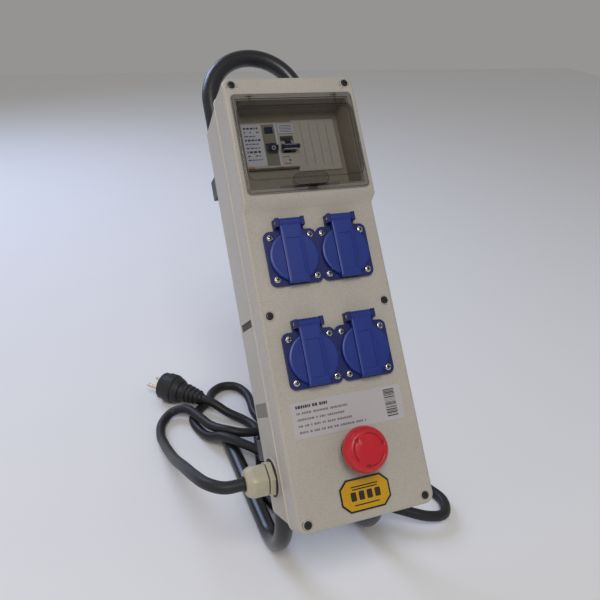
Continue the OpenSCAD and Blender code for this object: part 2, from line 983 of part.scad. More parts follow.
tube_frame();
foot_tubes();
foot_end_caps();
frame_saddles();
frame_saddle_screws();
base_shell();
side_slot_insert();
side_blank_insert();
cover_gasket();
cover_shell();
cover_screw_collars();
cover_screws();
window_door();
door_latch();
door_hinge_pins();
device_mask();
din_rail();
din_rail_posts();
rcd_body();
rcd_lever();
rcd_test_button();
mcb_body();
mcb_lever();
mcb_label_holder();
blanking_plate();
terminal_bars();
terminal_bar_holders();
supply_wires();
socket_body_1();
socket_body_2();
socket_body_3();
socket_body_4();
socket_lid_1();
socket_lid_2();
socket_lid_3();
socket_lid_4();
lid_hinge_pins();
lid_springs();
socket_gaskets();
socket_screws();
socket_sleeves();
socket_earth_pins();
stop_head();
stop_plunger();
stop_collar();
stop_nut();
stop_contact_block();
stop_spring();
gland_body();
gland_seal();
gland_nut();
gland_grommet();
gland_locknut();
rating_label();
name_plate();
name_plate_border();
cord();
plug_strain_relief();
plug_body();
plug_pins();
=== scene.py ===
"""Looks of a portable power distribution box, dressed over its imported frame.

Every sub-assembly is a class whose fields are sizes in millimetres in the enclosure's own upright
frame: x to the right, y from the front face into the box, z up along the box. Stance places that
frame in the row frame, leaning back over the floor, in metres.
"""

import logging
import math
import random
from collections.abc import Callable, Iterable, Sequence
from dataclasses import dataclass
from enum import Enum

import bmesh
import bpy
from mathutils import Matrix, Vector


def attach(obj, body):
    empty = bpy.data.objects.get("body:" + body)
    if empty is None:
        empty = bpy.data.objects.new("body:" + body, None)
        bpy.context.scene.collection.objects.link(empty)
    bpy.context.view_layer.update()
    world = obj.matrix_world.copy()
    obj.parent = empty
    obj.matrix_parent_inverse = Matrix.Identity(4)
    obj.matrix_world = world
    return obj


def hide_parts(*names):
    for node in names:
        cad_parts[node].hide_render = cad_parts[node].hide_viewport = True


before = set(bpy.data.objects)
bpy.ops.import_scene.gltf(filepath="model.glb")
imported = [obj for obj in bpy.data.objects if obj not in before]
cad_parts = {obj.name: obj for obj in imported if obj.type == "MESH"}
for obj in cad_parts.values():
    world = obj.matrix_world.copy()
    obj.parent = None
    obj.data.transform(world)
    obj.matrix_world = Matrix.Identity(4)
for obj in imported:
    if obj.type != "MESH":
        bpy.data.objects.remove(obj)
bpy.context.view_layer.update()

LOG = logging.getLogger("power_box")
MM = 0.001
TAU = math.tau
Point = tuple[float, float, float]


class Body(Enum):
    """CAD bodies that the pieces ride on."""

    HOUSING = "housing"
    DOOR = "door"
    RCD_TOGGLE = "rcd_toggle"
    RCD_TEST = "rcd_test"
    MCB_TOGGLE = "mcb_toggle"
    STEM = "stop_stem"
    MUSHROOM = "stop_mushroom"
    LID_1 = "lid_1"
    LID_2 = "lid_2"
    LID_3 = "lid_3"
    LID_4 = "lid_4"


class Pattern(Enum):
    """How a finish varies over its surface."""

    GRAINED = "grained"
    BRUSHED = "brushed"
    MOULDED = "moulded"
    PAINTED = "painted"
    PRINTED = "printed"


# ---- finishes ----


@dataclass(frozen=True)
class Finish:
    """One procedural finish.

    Colours are linear RGB. Scales are noise scales on Object coordinates, in cycles per metre.
    """

    slot: str
    color: Point
    roughness: float
    pattern: Pattern = Pattern.GRAINED
    metallic: float = 0.0
    drift: float = 0.1
    drift_scale: float = 14.0
    grain: float = 0.12
    grain_scale: float = 900.0
    speckle: float = 0.06
    coat: float = 0.0
    coat_roughness: float = 0.1
    alpha: float = 1.0
    specular: float = 0.5
    tag: str = ""

    def material(self) -> bpy.types.Material:
        """The Blender material of this finish, made once.

        Returns:
            A node material that reads Object coordinates.
        """
        name = f"{self.slot}{self.tag or '_main'}"
        found = bpy.data.materials.get(name)
        if found:
            return found
        mat = bpy.data.materials.new(name)
        mat.use_nodes = True
        tree = mat.node_tree
        shader = tree.nodes["Principled BSDF"]
        shader.inputs["Metallic"].default_value = self.metallic
        shader.inputs["Coat Weight"].default_value = self.coat
        shader.inputs["Coat Roughness"].default_value = self.coat_roughness
        shader.inputs["Alpha"].default_value = self.alpha
        shader.inputs["Specular IOR Level"].default_value = self.specular
        place = self._place(tree)
        drift = self._noise(tree, place, self.drift_scale, 5.0)
        grain = self._noise(tree, place, self.grain_scale, 2.0)
        self._color(tree, shader, drift, grain)
        self._roughness(tree, shader, drift)
        self._bump(tree, shader, grain)
        mat.diffuse_color = (*self.color, 1.0)
        return mat

    def _place(self, tree: bpy.types.NodeTree) -> bpy.types.NodeSocket:
        """Object coordinates, stretched along the box for a brushed or painted pattern.

        Args:
            tree: the material's node tree.

        Returns:
            The socket that the noises read.
        """
        coords = tree.nodes.new("ShaderNodeTexCoord")
        mapping = tree.nodes.new("ShaderNodeMapping")
        stretch = {Pattern.BRUSHED: (1.0, 1.0, 0.12), Pattern.PAINTED: (1.0, 0.6, 0.6)}
        mapping.inputs["Scale"].default_value = stretch.get(self.pattern, (1.0, 1.0, 1.0))
        tree.links.new(coords.outputs["Object"], mapping.inputs["Vector"])
        return mapping.outputs["Vector"]

    @staticmethod
    def _noise(tree: bpy.types.NodeTree, place: bpy.types.NodeSocket, scale: float,
               detail: float) -> bpy.types.NodeSocket:
        """A noise texture's value at a place.

        Args:
            tree: the material's node tree.
            place: the vector socket that it reads.
            scale: cycles per metre.
            detail: octaves.

        Returns:
            The noise's value socket.
        """
        noise = tree.nodes.new("ShaderNodeTexNoise")
        noise.inputs["Scale"].default_value = scale
        noise.inputs["Detail"].default_value = detail
        tree.links.new(place, noise.inputs["Vector"])
        return noise.outputs["Fac"]

    def _shade(self, amount: float) -> tuple[float, float, float, float]:
        """The finish's colour, lighter or darker by an amount."""
        return tuple(max(0.0, c * (1.0 + amount)) for c in self.color) + (1.0,)

    def _color(self, tree: bpy.types.NodeTree, shader: bpy.types.Node,
               drift: bpy.types.NodeSocket, grain: bpy.types.NodeSocket) -> None:
        """Colour that drifts over the piece and speckles with the grain.

        Args:
            tree: the material's node tree.
            shader: the surface shader.
            drift: slow noise.
            grain: fine noise.
        """
        slow = tree.nodes.new("ShaderNodeValToRGB")
        slow.color_ramp.elements[0].position = 0.3
        slow.color_ramp.elements[0].color = self._shade(-self.drift)
        slow.color_ramp.elements[1].position = 0.7
        slow.color_ramp.elements[1].color = self._shade(self.drift)
        tree.links.new(drift, slow.inputs["Fac"])
        fine = tree.nodes.new("ShaderNodeValToRGB")
        fine.color_ramp.elements[0].position = 0.38
        fine.color_ramp.elements[0].color = (*(1.0 - 2.0 * self.speckle,) * 3, 1.0)
        fine.color_ramp.elements[1].position = 0.58
        fine.color_ramp.elements[1].color = (1.0, 1.0, 1.0, 1.0)
        tree.links.new(grain, fine.inputs["Fac"])
        mix = tree.nodes.new("ShaderNodeMix")
        mix.data_type = "RGBA"
        mix.blend_type = "MULTIPLY"
        mix.inputs["Factor"].default_value = 1.0
        tree.links.new(slow.outputs["Color"], mix.inputs[6])
        tree.links.new(fine.outputs["Color"], mix.inputs[7])
        tree.links.new(mix.outputs[2], shader.inputs["Base Color"])

    def _roughness(self, tree: bpy.types.NodeTree, shader: bpy.types.Node,
                   drift: bpy.types.NodeSocket) -> None:
        """Roughness that varies a little with the slow noise.

        Args:
            tree: the material's node tree.
            shader: the surface shader.
            drift: slow noise.
        """
        span = tree.nodes.new("ShaderNodeMapRange")
        span.inputs["From Min"].default_value = 0.3
        span.inputs["From Max"].default_value = 0.7
        span.inputs["To Min"].default_value = self.roughness * 0.85
        span.inputs["To Max"].default_value = min(1.0, self.roughness * 1.15)
        tree.links.new(drift, span.inputs["Value"])
        tree.links.new(span.outputs["Result"], shader.inputs["Roughness"])

    def _bump(self, tree: bpy.types.NodeTree, shader: bpy.types.Node,
              grain: bpy.types.NodeSocket) -> None:
        """Fine relief from the grain.

        Args:
            tree: the material's node tree.
            shader: the surface shader.
            grain: fine noise.
        """
        bump = tree.nodes.new("ShaderNodeBump")
        bump.inputs["Strength"].default_value = self.grain
        bump.inputs["Distance"].default_value = 0.0004
        tree.links.new(grain, bump.inputs["Height"])
        tree.links.new(bump.outputs["Normal"], shader.inputs["Normal"])


SHELL = Finish("shell_grey", (0.48, 0.45, 0.4), 0.44, grain=0.22, drift=0.03, speckle=0.06)
# Painted highlight: a paler copy of the shell grey for the bead along the seam.
SEAM_PAINTED_HIGHLIGHT = Finish("shell_grey", (0.6, 0.56, 0.49), 0.4, drift=0.03, tag="_rim")
# Painted shadow: a dark copy of the shell grey for the bead in the gap behind the seam.
SEAM_PAINTED_SHADOW = Finish("shell_grey", (0.17, 0.15, 0.12), 0.6, drift=0.05, tag="_seam")
INSIDE = Finish("shell_grey", (0.36, 0.32, 0.25), 0.55, drift=0.04, tag="_inside")
# Near-black insert for the side slot: partly its own dark plastic, partly painted shade of the open
# slot.
INSERT_DARK_AND_SHADE = Finish("insert_grey", (0.05, 0.043, 0.035), 0.6, drift=0.2, tag="_dark_and_shade")
INSERT_GREY = Finish("insert_grey", (0.2, 0.185, 0.165), 0.5, drift=0.05)
FRAME_PAINT = Finish("frame_paint", (0.008, 0.009, 0.013), 0.34, Pattern.PAINTED, drift=0.3,
                     grain=0.25, grain_scale=420.0, coat=0.3, coat_roughness=0.22)
RUBBER = Finish("black_rubber", (0.011, 0.011, 0.014), 0.48, drift=0.25, grain=0.3,
                grain_scale=700.0)
SEAL_RUBBER = Finish("black_rubber", (0.007, 0.007, 0.008), 0.62, drift=0.2, tag="_seal")
# Black plastic, also used as painted shade for the notch under the door's grip.
BLACK_PLASTIC_AND_NOTCH_SHADE = Finish("black_plastic", (0.014, 0.014, 0.016), 0.42, drift=0.2)
# Black screw heads, also used as painted shade in the steel outlet screws' cross recesses.
SCREW_BLACK_AND_RECESS_SHADE = Finish("black_plastic", (0.022, 0.02, 0.019), 0.22, drift=0.2, tag="_screw")
STEEL = Finish("bright_steel", (0.66, 0.66, 0.63), 0.27, Pattern.BRUSHED, metallic=1.0,
               grain=0.1, grain_scale=1600.0)
PALE = Finish("pale_plastic", (0.46, 0.45, 0.4), 0.4, drift=0.04)
SMOKE = Finish("smoked_window", (0.006, 0.007, 0.01), 0.05, Pattern.MOULDED, drift=0.1,
               grain=0.005, speckle=0.0, alpha=0.2, specular=0.25)
# Painted shade: darker, denser smoke for the door's walls seen edge on.
SMOKE_WALL_SHADE = Finish("smoked_window", (0.01, 0.012, 0.024), 0.08, Pattern.MOULDED, grain=0.01,
                    speckle=0.0, alpha=0.5, tag="_wall_shade")
# Painted highlight: pale blue for the lit rim along the door tray's edge.
SMOKE_PAINTED_HIGHLIGHT = Finish("smoked_window", (0.34, 0.4, 0.62), 0.12, Pattern.MOULDED, grain=0.01,
                    speckle=0.0, alpha=0.85, coat=0.6, tag="_edge")
# Near-black for the hinge lugs, and as painted shade for the dark outline round the bubble's foot.
SMOKE_LUGS_AND_OUTLINE_SHADE = Finish("smoked_window", (0.004, 0.005, 0.01), 0.2, Pattern.MOULDED, grain=0.01,
                    speckle=0.0, tag="_line")
LATCH = Finish("smoked_latch", (0.02, 0.02, 0.02), 0.1, Pattern.MOULDED, grain=0.005,
               speckle=0.0, alpha=0.16, specular=0.3)
# Painted highlight: pale blue for the grip's lit edges.
LATCH_PAINTED_HIGHLIGHT = Finish("smoked_latch", (0.34, 0.4, 0.62), 0.12, Pattern.MOULDED, grain=0.01,
                    speckle=0.0, alpha=0.9, coat=0.6, tag="_edge")
DEVICE = Finish("device_white", (0.6, 0.57, 0.5), 0.38, drift=0.03, grain=0.06)
DEVICE_PANEL = Finish("device_white", (0.72, 0.72, 0.76), 0.3, Pattern.PRINTED, drift=0.02,
                      grain=0.03, tag="_panel")
NAVY = Finish("lever_navy", (0.008, 0.012, 0.05), 0.3, drift=0.1, grain=0.05)
DRUM = Finish("lever_navy", (0.5, 0.48, 0.43), 0.35, drift=0.03, grain=0.05, tag="_drum")
# Painted shade: a darker copy of the device white for the well round the RCD lever.
RECESS_SHADE = Finish("device_white", (0.26, 0.24, 0.19), 0.5, drift=0.1, tag="_recess")
PIN_METAL = Finish("contact_brass", (0.72, 0.62, 0.46), 0.3, Pattern.BRUSHED, metallic=1.0,
                   tag="_pins")
BRASS = Finish("contact_brass", (0.68, 0.47, 0.19), 0.28, Pattern.BRUSHED, metallic=1.0)
GREEN = Finish("holder_green", (0.05, 0.22, 0.07), 0.45)
WIRE = Finish("wire_sheath", (0.16, 0.06, 0.03), 0.4)
BLUE = Finish("socket_blue", (0.004, 0.012, 0.12), 0.42, drift=0.1, grain=0.1)
LID_BLUE = Finish("lid_blue", (0.005, 0.025, 0.23), 0.42, drift=0.07, grain=0.1, coat=0.15,
                  coat_roughness=0.3)
RED = Finish("stop_red", (0.58, 0.012, 0.025), 0.36, drift=0.06, grain=0.06)
# Painted shade: darker red for the floors of the arrows cut in the mushroom.
RED_GROOVE_SHADE = Finish("stop_red", (0.33, 0.003, 0.01), 0.5, drift=0.06, tag="_groove_shade")
BEIGE = Finish("gland_beige", (0.47, 0.44, 0.32), 0.34, drift=0.04, grain=0.05)
LABEL = Finish("label_white", (0.5, 0.475, 0.49), 0.32, Pattern.PRINTED, drift=0.02,
               grain=0.02, speckle=0.01, coat=0.3)
PRINT = Finish("label_white", (0.045, 0.045, 0.05), 0.4, Pattern.PRINTED, tag="_print")
PRINT_GREY = Finish("label_white", (0.2, 0.2, 0.21), 0.4, Pattern.PRINTED, tag="_fine_print")
# Painted shade: darker lines in the scored grooves of the blanking plate.
SCORE_SHADE = Finish("device_white", (0.3, 0.28, 0.24), 0.5, tag="_score")
PRINT_BLUE = Finish("device_white", (0.04, 0.06, 0.2), 0.4, Pattern.PRINTED, tag="_blue_print")
PRINT_ORANGE = Finish("device_white", (0.62, 0.19, 0.06), 0.4, Pattern.PRINTED,
                      tag="_orange_print")
YELLOW = Finish("plate_yellow", (0.62, 0.34, 0.0015), 0.3, Pattern.PRINTED, drift=0.04,
                grain=0.02, coat=0.3)
PLATE_INK = Finish("plate_yellow", (0.03, 0.024, 0.012), 0.36, Pattern.PRINTED, tag="_ink")


# ---- placing ----


@dataclass(frozen=True)
class Stance:
    """How the enclosure leans over the floor on its bent tubes."""

    lean: float = 38.0
    tube_r: float = 9.0
    bend_r: float = 50.0
    leg_x: float = 50.0
    leg_y: float = 88.0
    leg_low: float = 17.0
    arch_z: float = 424.0
    cover_bottom: float = -7.5
    foot_len: float = 166.0

    @property
    def bend_y(self) -> float:
        """Depth of the centre that the lower bends turn about."""
        return self.leg_y + self.bend_r

    def matrix(self) -> Matrix:
        """Enclosure millimetres to row metres."""
        a = math.radians(self.lean)
        up = self.tube_r + self.bend_r + self.bend_y * math.sin(a) - self.leg_low * math.cos(a)
        front = self.cover_bottom * math.sin(a)
        rear = (self.leg_y * math.cos(a) + (self.arch_z + self.leg_x) * math.sin(a)
                + self.tube_r)
        place = Matrix.Translation((0.0, -(front + rear) / 2.0, up))
        return Matrix.Scale(MM, 4) @ place @ Matrix.Rotation(-a, 4, "X")


STANCE = Stance()
LEANING = STANCE.matrix()
UPRIGHT = Matrix.Scale(MM, 4)


# ---- shapes ----


def rounded_ring(w: float, h: float, r: float, y: float, x: float = 0.0, z: float = 0.0,
                 steps: int = 7) -> list[Vector]:
    """Outline of a rectangle with round corners that faces the front.

    Args:
        w: width.
        h: height.
        r: corner radius.
        y: depth of the outline.
        x: middle across.
        z: middle up.
        steps: spans in each corner.

    Returns:
        The outline's points, in order.
    """
    ring = []
    for sx, sz, start in ((1, 1, 0), (-1, 1, 90), (-1, -1, 180), (1, -1, 270)):
        for k in range(steps + 1):
            a = math.radians(start + 90.0 * k / steps)
            ring.append(Vector((x + sx * (w / 2 - r) + r * math.cos(a), y,
                                z + sz * (h / 2 - r) + r * math.sin(a))))
    return ring


def smooth_path(route: Sequence[Point], steps: int) -> list[Vector]:
    """A smooth curve through the points of a route.

    Args:
        route: points to pass through.
        steps: spans between two points.

    Returns:
        The curve's points.
    """
    points = [Vector(p) for p in route]
    points = [2 * points[0] - points[1], *points, 2 * points[-1] - points[-2]]
    path = []
    for a, b, c, d in zip(points, points[1:], points[2:], points[3:]):
        for k in range(steps):
            t = k / steps
            path.append(0.5 * (2 * b + (c - a) * t + (2 * a - 5 * b + 4 * c - d) * t * t
                               + (3 * b - a - 3 * c + d) * t ** 3))
    path.append(points[-2])
    return path


class Shape:
    """Closed shells gathered in one mesh before it becomes a piece."""

    def __init__(self) -> None:
        """Starts with nothing."""
        self.bm = bmesh.new()

    def loft(self, rings: Sequence[Sequence[Vector]], index: int = 0,
             looped: bool = False) -> list[bmesh.types.BMFace]:
        """Skins outlines that have the same number of points.

        Args:
            rings: outlines, in order.
            index: material index of the skin.
            looped: the last outline joins the first, and there are no end caps.

        Returns:
            The faces made.
        """
        rows = [[self.bm.verts.new(p) for p in ring] for ring in rings]
        if looped:
            rows.append(rows[0])
        faces = []
        n = len(rows[0])
        for low, high in zip(rows, rows[1:]):
            for k in range(n):
                m = (k + 1) % n
                faces.append(self.bm.faces.new((low[k], low[m], high[m], high[k])))
        if not looped:
            faces.append(self.bm.faces.new(list(reversed(rows[0]))))
            faces.append(self.bm.faces.new(rows[-1]))
        for f in faces:
            f.material_index = index
        return faces

    def turned(self, profile: Sequence[tuple[float, float]], at: Point, along: Point,
               sides: int = 48, index: int = 0,
               swell: Callable[[float, float], float] | None = None,
               looped: bool = False) -> None:
        """A form turned about an axis.

        Args:
            profile: pairs of radius and distance along the axis.
            at: start of the axis.
            along: direction of the axis.
            sides: points round it.
            index: material index.
            swell: factor on the radius from the angle and the distance along.
            looped: the profile closes on itself, as on a ring.
        """
        axis = Vector(along).normalized()
        side = axis.orthogonal().normalized()
        if abs(axis.z) < 0.9:
            side = axis.cross(Vector((0, 0, 1))).normalized()
        other = axis.cross(side)
        rings = []
        for r, t in profile:
            ring = []
            for k in range(sides):
                a = TAU * k / sides
                out = max(r, 1e-4) * (swell(a, t) if swell else 1.0)
                ring.append(Vector(at) + axis * t + (side * math.cos(a)
                                                     + other * math.sin(a)) * out)
            rings.append(ring)
        self.loft(rings, index, looped)

    def prism(self, outline: Sequence[tuple[float, float]], y0: float, y1: float,
              index: int = 0) -> None:
        """An outline of x and z, given depth from y0 to y1."""
        self.loft([[Vector((x, y, z)) for x, z in outline] for y in (y0, y1)], index)

    def block(self, low: Point, high: Point, index: int = 0) -> None:
        """A block between two opposite corners."""
        (x0, y0, z0), (x1, y1, z1) = low, high
        self.prism([(x0, z0), (x1, z0), (x1, z1), (x0, z1)], y0, y1, index)

    def plate(self, w: float, h: float, r: float, y0: float, y1: float, x: float = 0.0,
              z: float = 0.0, edge: float = 0.0, index: int = 0) -> None:
        """A plate with round corners and, at its front, a rolled edge.

        Args:
            w: width.
            h: height.
            r: corner radius.
            y0: depth of the front.
            y1: depth of the back.
            x: middle across.
            z: middle up.
            edge: radius of the rolled front edge.
            index: material index.
        """
        rings = [rounded_ring(w, h, r, y1, x, z)]
        turns = 4 if edge else 0
        for k in range(turns + 1):
            a = math.radians(90.0 * k / turns) if turns else 0.0
            pull = edge * (1 - math.cos(a))
            rings.append(rounded_ring(w - 2 * pull, h - 2 * pull, max(r - pull, 0.2),
                                      y0 + edge * (1 - math.sin(a)), x, z))
        self.loft(rings, index)

    def swept(self, path: Sequence[Vector], radius: float, sides: int, index: int = 0) -> None:
        """A round bar along a path.

        Args:
            path: the centreline.
            radius: the bar's radius.
            sides: points round it.
            index: material index.
        """
        heading = (path[1] - path[0]).normalized()
        side = heading.orthogonal().normalized()
        rings = []
        for i, p in enumerate(path):
            a = path[max(i - 1, 0)]
            b = path[min(i + 1, len(path) - 1)]
            ahead = (b - a).normalized()
            side = heading.rotation_difference(ahead) @ side
            side = (side - ahead * side.dot(ahead)).normalized()
            heading = ahead
            other = ahead.cross(side)
            rings.append([p + (side * math.cos(TAU * k / sides)
                               + other * math.sin(TAU * k / sides)) * radius
                          for k in range(sides)])
        self.loft(rings, index)

    def bead(self, outline: Sequence[Vector], r: float, index: int = 0,
             sides: int = 10) -> None:
        """A round bead along a closed outline that faces the front.

        Args:
            outline: the bead's centreline.
            r: the bead's radius.
            index: material index.
            sides: points round it.
        """
        n = len(outline)
        deep = Vector((0, 1, 0))
        rings = []
        for i, p in enumerate(outline):
            ahead = (outline[(i + 1) % n] - outline[i - 1]).normalized()
            out = ahead.cross(deep)
            rings.append([p + (out * math.cos(TAU * k / sides)
                               + deep * math.sin(TAU * k / sides)) * r for k in range(sides)])
        self.loft(rings, index, looped=True)

    def settle(self, name: str, finishes: Sequence[Finish], place: Matrix = LEANING,
               bevel: float = 0.0, rounds: int = 2, angle: float = 32.0,
               recount: bool = True) -> bpy.types.Object:
        """Makes the object, at the origin with its place in its mesh.

        Args:
            name: the piece's name.
            finishes: one for each material index.
            place: millimetres of the drawing to row metres.
            bevel: width of the eased edges.
            rounds: segments of an eased edge.
            angle: edges sharper than this stay sharp, in degrees.
            recount: turn every closed shell's faces outwards.

        Returns:
            The finished object.
        """
        bmesh.ops.remove_doubles(self.bm, verts=self.bm.verts, dist=2e-4)
        if recount:
            bmesh.ops.recalc_face_normals(self.bm, faces=self.bm.faces)
        mesh = bpy.data.meshes.new(name)
        self.bm.to_mesh(mesh)
        self.bm.free()
        obj = link(name, mesh)
        if bevel:
            ease = obj.modifiers.new("eased_edges", "BEVEL")
            ease.width = bevel
            ease.segments = rounds
            ease.limit_method = "ANGLE"
            ease.angle_limit = math.radians(angle)
            flatten(obj)
        obj.data.transform(place)
        obj.data.materials.clear()
        for finish in finishes:
            obj.data.materials.append(finish.material())
        soften(obj, angle)
        return obj


def soften(obj: bpy.types.Object, angle: float) -> None:
    """Smooth shading that keeps flats flat and edges sharper than an angle sharp.

    Args:
        obj: the piece.
        angle: the angle, in degrees.
    """
    obj.data.shade_smooth()
    obj.data.set_sharp_from_angle(angle=math.radians(angle))
    weigh = obj.modifiers.new("flats", "WEIGHTED_NORMAL")
    weigh.keep_sharp = True
    weigh.weight = 80
    flatten(obj)


def link(name: str, mesh: bpy.types.Mesh) -> bpy.types.Object:
    """A new object of that mesh, in the scene."""
    obj = bpy.data.objects.new(name, mesh)
    bpy.context.scene.collection.objects.link(obj)
    return obj


def flatten(obj: bpy.types.Object) -> None:
    """Turns an object's modifiers into its plain mesh, and removes them."""
    bpy.context.view_layer.update()
    seen = obj.evaluated_get(bpy.context.evaluated_depsgraph_get())
    mesh = bpy.data.meshes.new_from_object(seen)
    obj.modifiers.clear()
    obj.data = mesh


def carve(obj: bpy.types.Object, cutter: bpy.types.Object) -> None:
    """Cuts one mesh out of another and throws the cutter away.

    Args:
        obj: the piece that is cut.
        cutter: the form that is taken out of it.
    """
    cut = obj.modifiers.new("cut", "BOOLEAN")
    cut.operation = "DIFFERENCE"
    cut.solver = "EXACT"
    cut.object = cutter
    flatten(obj)
    bpy.data.objects.remove(cutter)


def fit(obj: bpy.types.Object, body: Body, finish: Finish, *nodes: str) -> bpy.types.Object:
    """Gives a piece its body and the CAD nodes that it stands for.

    Args:
        obj: the finished piece.
        body: the body that it moves with.
        finish: its main finish; not used.
        nodes: CAD nodes that it replaces.

    Returns:
        The piece.
    """
    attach(obj, body.value)
    if nodes:
        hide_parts(*nodes)
    LOG.info("%s on %s, %d faces", obj.name, body.value, len(obj.data.polygons))
    return obj


def merged_copy(node: str) -> Shape:
    """A CAD node's own mesh with its loose triangles joined, in enclosure millimetres.

    Args:
        node: the CAD node's name.

    Returns:
        The shape, ready to be altered.
    """
    shape = Shape()
    shape.bm.from_mesh(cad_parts[node].data)
    shape.bm.transform(LEANING.inverted())
    bmesh.ops.remove_doubles(shape.bm, verts=shape.bm.verts, dist=2e-3)
    bmesh.ops.dissolve_limit(shape.bm, angle_limit=math.radians(0.6), verts=shape.bm.verts,
                             edges=shape.bm.edges)
    return shape


def refine(node: str, name: str, finish: Finish, body: Body = Body.HOUSING,
           bevel: float = 0.3) -> bpy.types.Object:
    """A CAD node's form again with eased edges and smooth rounds.

    Args:
        node: the CAD node.
        name: the new piece's name.
        finish: its finish.
        body: the body that it moves with.
        bevel: width of its eased edges.

    Returns:
        The piece, already fitted.
    """
    obj = merged_copy(node).settle(name, [finish], bevel=bevel, recount=False)
    return fit(obj, body, finish, node)


def paint(node: str, finish: Finish) -> None:
    """Gives a CAD node that stays as it is its finish."""
    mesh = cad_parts[node].data
    mesh.materials.clear()
    mesh.materials.append(finish.material())
    LOG.info("%s keeps its form", node)


# ---- repeats, made with Geometry Nodes ----


class Repeater:
    """A node tree that puts one template on every spot, with named inputs for its sizes."""

    INPUTS = (("Template", "NodeSocketObject"), ("Turn", "NodeSocketVector"),
              ("Finish", "NodeSocketMaterial"))

    def __init__(self, name: str) -> None:
        """Builds the tree.

        Args:
            name: the tree's name.
        """
        self.tree = bpy.data.node_groups.new(name, "GeometryNodeTree")
        face = self.tree.interface
        face.new_socket("Spots", in_out="INPUT", socket_type="NodeSocketGeometry")
        self.sockets = {label: face.new_socket(label, in_out="INPUT", socket_type=kind)
                        for label, kind in self.INPUTS}
        face.new_socket("Result", in_out="OUTPUT", socket_type="NodeSocketGeometry")
        nodes, links = self.tree.nodes, self.tree.links
        entry = nodes.new("NodeGroupInput")
        template = nodes.new("GeometryNodeObjectInfo")
        links.new(entry.outputs["Template"], template.inputs["Object"])
        sizes = nodes.new("GeometryNodeInputNamedAttribute")
        sizes.data_type = "FLOAT_VECTOR"
        sizes.inputs["Name"].default_value = "size"
        place = nodes.new("GeometryNodeInstanceOnPoints")
        links.new(entry.outputs["Spots"], place.inputs["Points"])
        links.new(template.outputs["Geometry"], place.inputs["Instance"])
        links.new(entry.outputs["Turn"], place.inputs["Rotation"])
        links.new(sizes.outputs["Attribute"], place.inputs["Scale"])
        real = nodes.new("GeometryNodeRealizeInstances")
        links.new(place.outputs["Instances"], real.inputs["Geometry"])
        dress = nodes.new("GeometryNodeSetMaterial")
        links.new(real.outputs["Geometry"], dress.inputs["Geometry"])
        links.new(entry.outputs["Finish"], dress.inputs["Material"])
        leave = nodes.new("NodeGroupOutput")
        links.new(dress.outputs["Geometry"], leave.inputs["Result"])

    def spread(self, name: str, spots: Sequence[Point], sizes: Sequence[Point],
               template: bpy.types.Object, finish: Finish, turn: Point = (0.0, 0.0, 0.0),
               place: Matrix = LEANING) -> bpy.types.Object:
        """Puts the template on every spot and makes one plain mesh of them.

        Args:
            name: the piece's name.
            spots: places, in millimetres.
            sizes: scale of the template at each place.
            template: the form that repeats, drawn about the origin in millimetres.
            finish: the finish of them all.
            turn: rotation of every one, in radians.
            place: millimetres to row metres.

        Returns:
            The finished object.
        """
        mesh = bpy.data.meshes.new(name)
        mesh.from_pydata([tuple(s) for s in spots], [], [])
        size = mesh.attributes.new("size", "FLOAT_VECTOR", "POINT")
        size.data.foreach_set("vector", [c for s in sizes for c in s])
        obj = link(name, mesh)
        grow = obj.modifiers.new("repeat", "NODES")
        grow.node_group = self.tree
        grow[self.sockets["Template"].identifier] = template
        grow[self.sockets["Turn"].identifier] = turn
        grow[self.sockets["Finish"].identifier] = finish.material()
        flatten(obj)
        obj.data.transform(place)
        soften(obj, 32.0)
        return obj


REPEATER = Repeater("repeat_on_spots")


def unit_bar() -> bpy.types.Object:
    """A bar for print and for painted shade lines, one by one by one, that stands in front of its
    spot.
    """
    shape = Shape()
    shape.plate(1.0, 1.0, 0.12, -1.0, 0.0)
    return shape.settle("bar_template", [PRINT], place=Matrix.Identity(4))


def print_and_shade_bars(name: str, bars: Iterable[tuple[float, float, float, float]], y: float,
               finish: Finish, body: Body = Body.HOUSING,
               ink: float = 0.08) -> bpy.types.Object:
    """Plain bars on a face that looks forward, for print and for the painted shade in the blanking
    plate's scores.

    Args:
        name: the piece's name.
        bars: for each bar its middle x and z, its width and its height.
        y: depth of the face.
        finish: the ink; for the scores, the colour of the painted shade.
        body: the body that carries the face.
        ink: how proud the bars stand.

    Returns:
        The piece, already fitted.
    """
    bars = list(bars)
    template = unit_bar()
    spots = [(x, y + 0.02, z) for x, z, _, _ in bars]
    sizes = [(w, ink + 0.02, h) for _, _, w, h in bars]
    obj = REPEATER.spread(name, spots, sizes, template, finish)
    bpy.data.objects.remove(template)
    return fit(obj, body, finish)


def cut_corners(x0: float, x1: float, z0: float, z1: float,
                cut: float) -> list[tuple[float, float]]:
    """Outline of a rectangle with its corners cut off at a slant."""
    return [(x0 + cut, z0), (x1 - cut, z0), (x1, z0 + cut), (x1, z1 - cut), (x1 - cut, z1),
            (x0 + cut, z1), (x0, z1 - cut), (x0, z0 + cut)]


def cross_outline(arm: float, half: float) -> list[tuple[float, float]]:
    """Outline of a cross about the origin, its arms that long and half that wide."""
    return [(-half, -arm), (half, -arm), (half, -half), (arm, -half), (arm, half),
            (half, half), (half, arm), (-half, arm), (-half, half), (-arm, half),
            (-arm, -half), (-half, -half)]


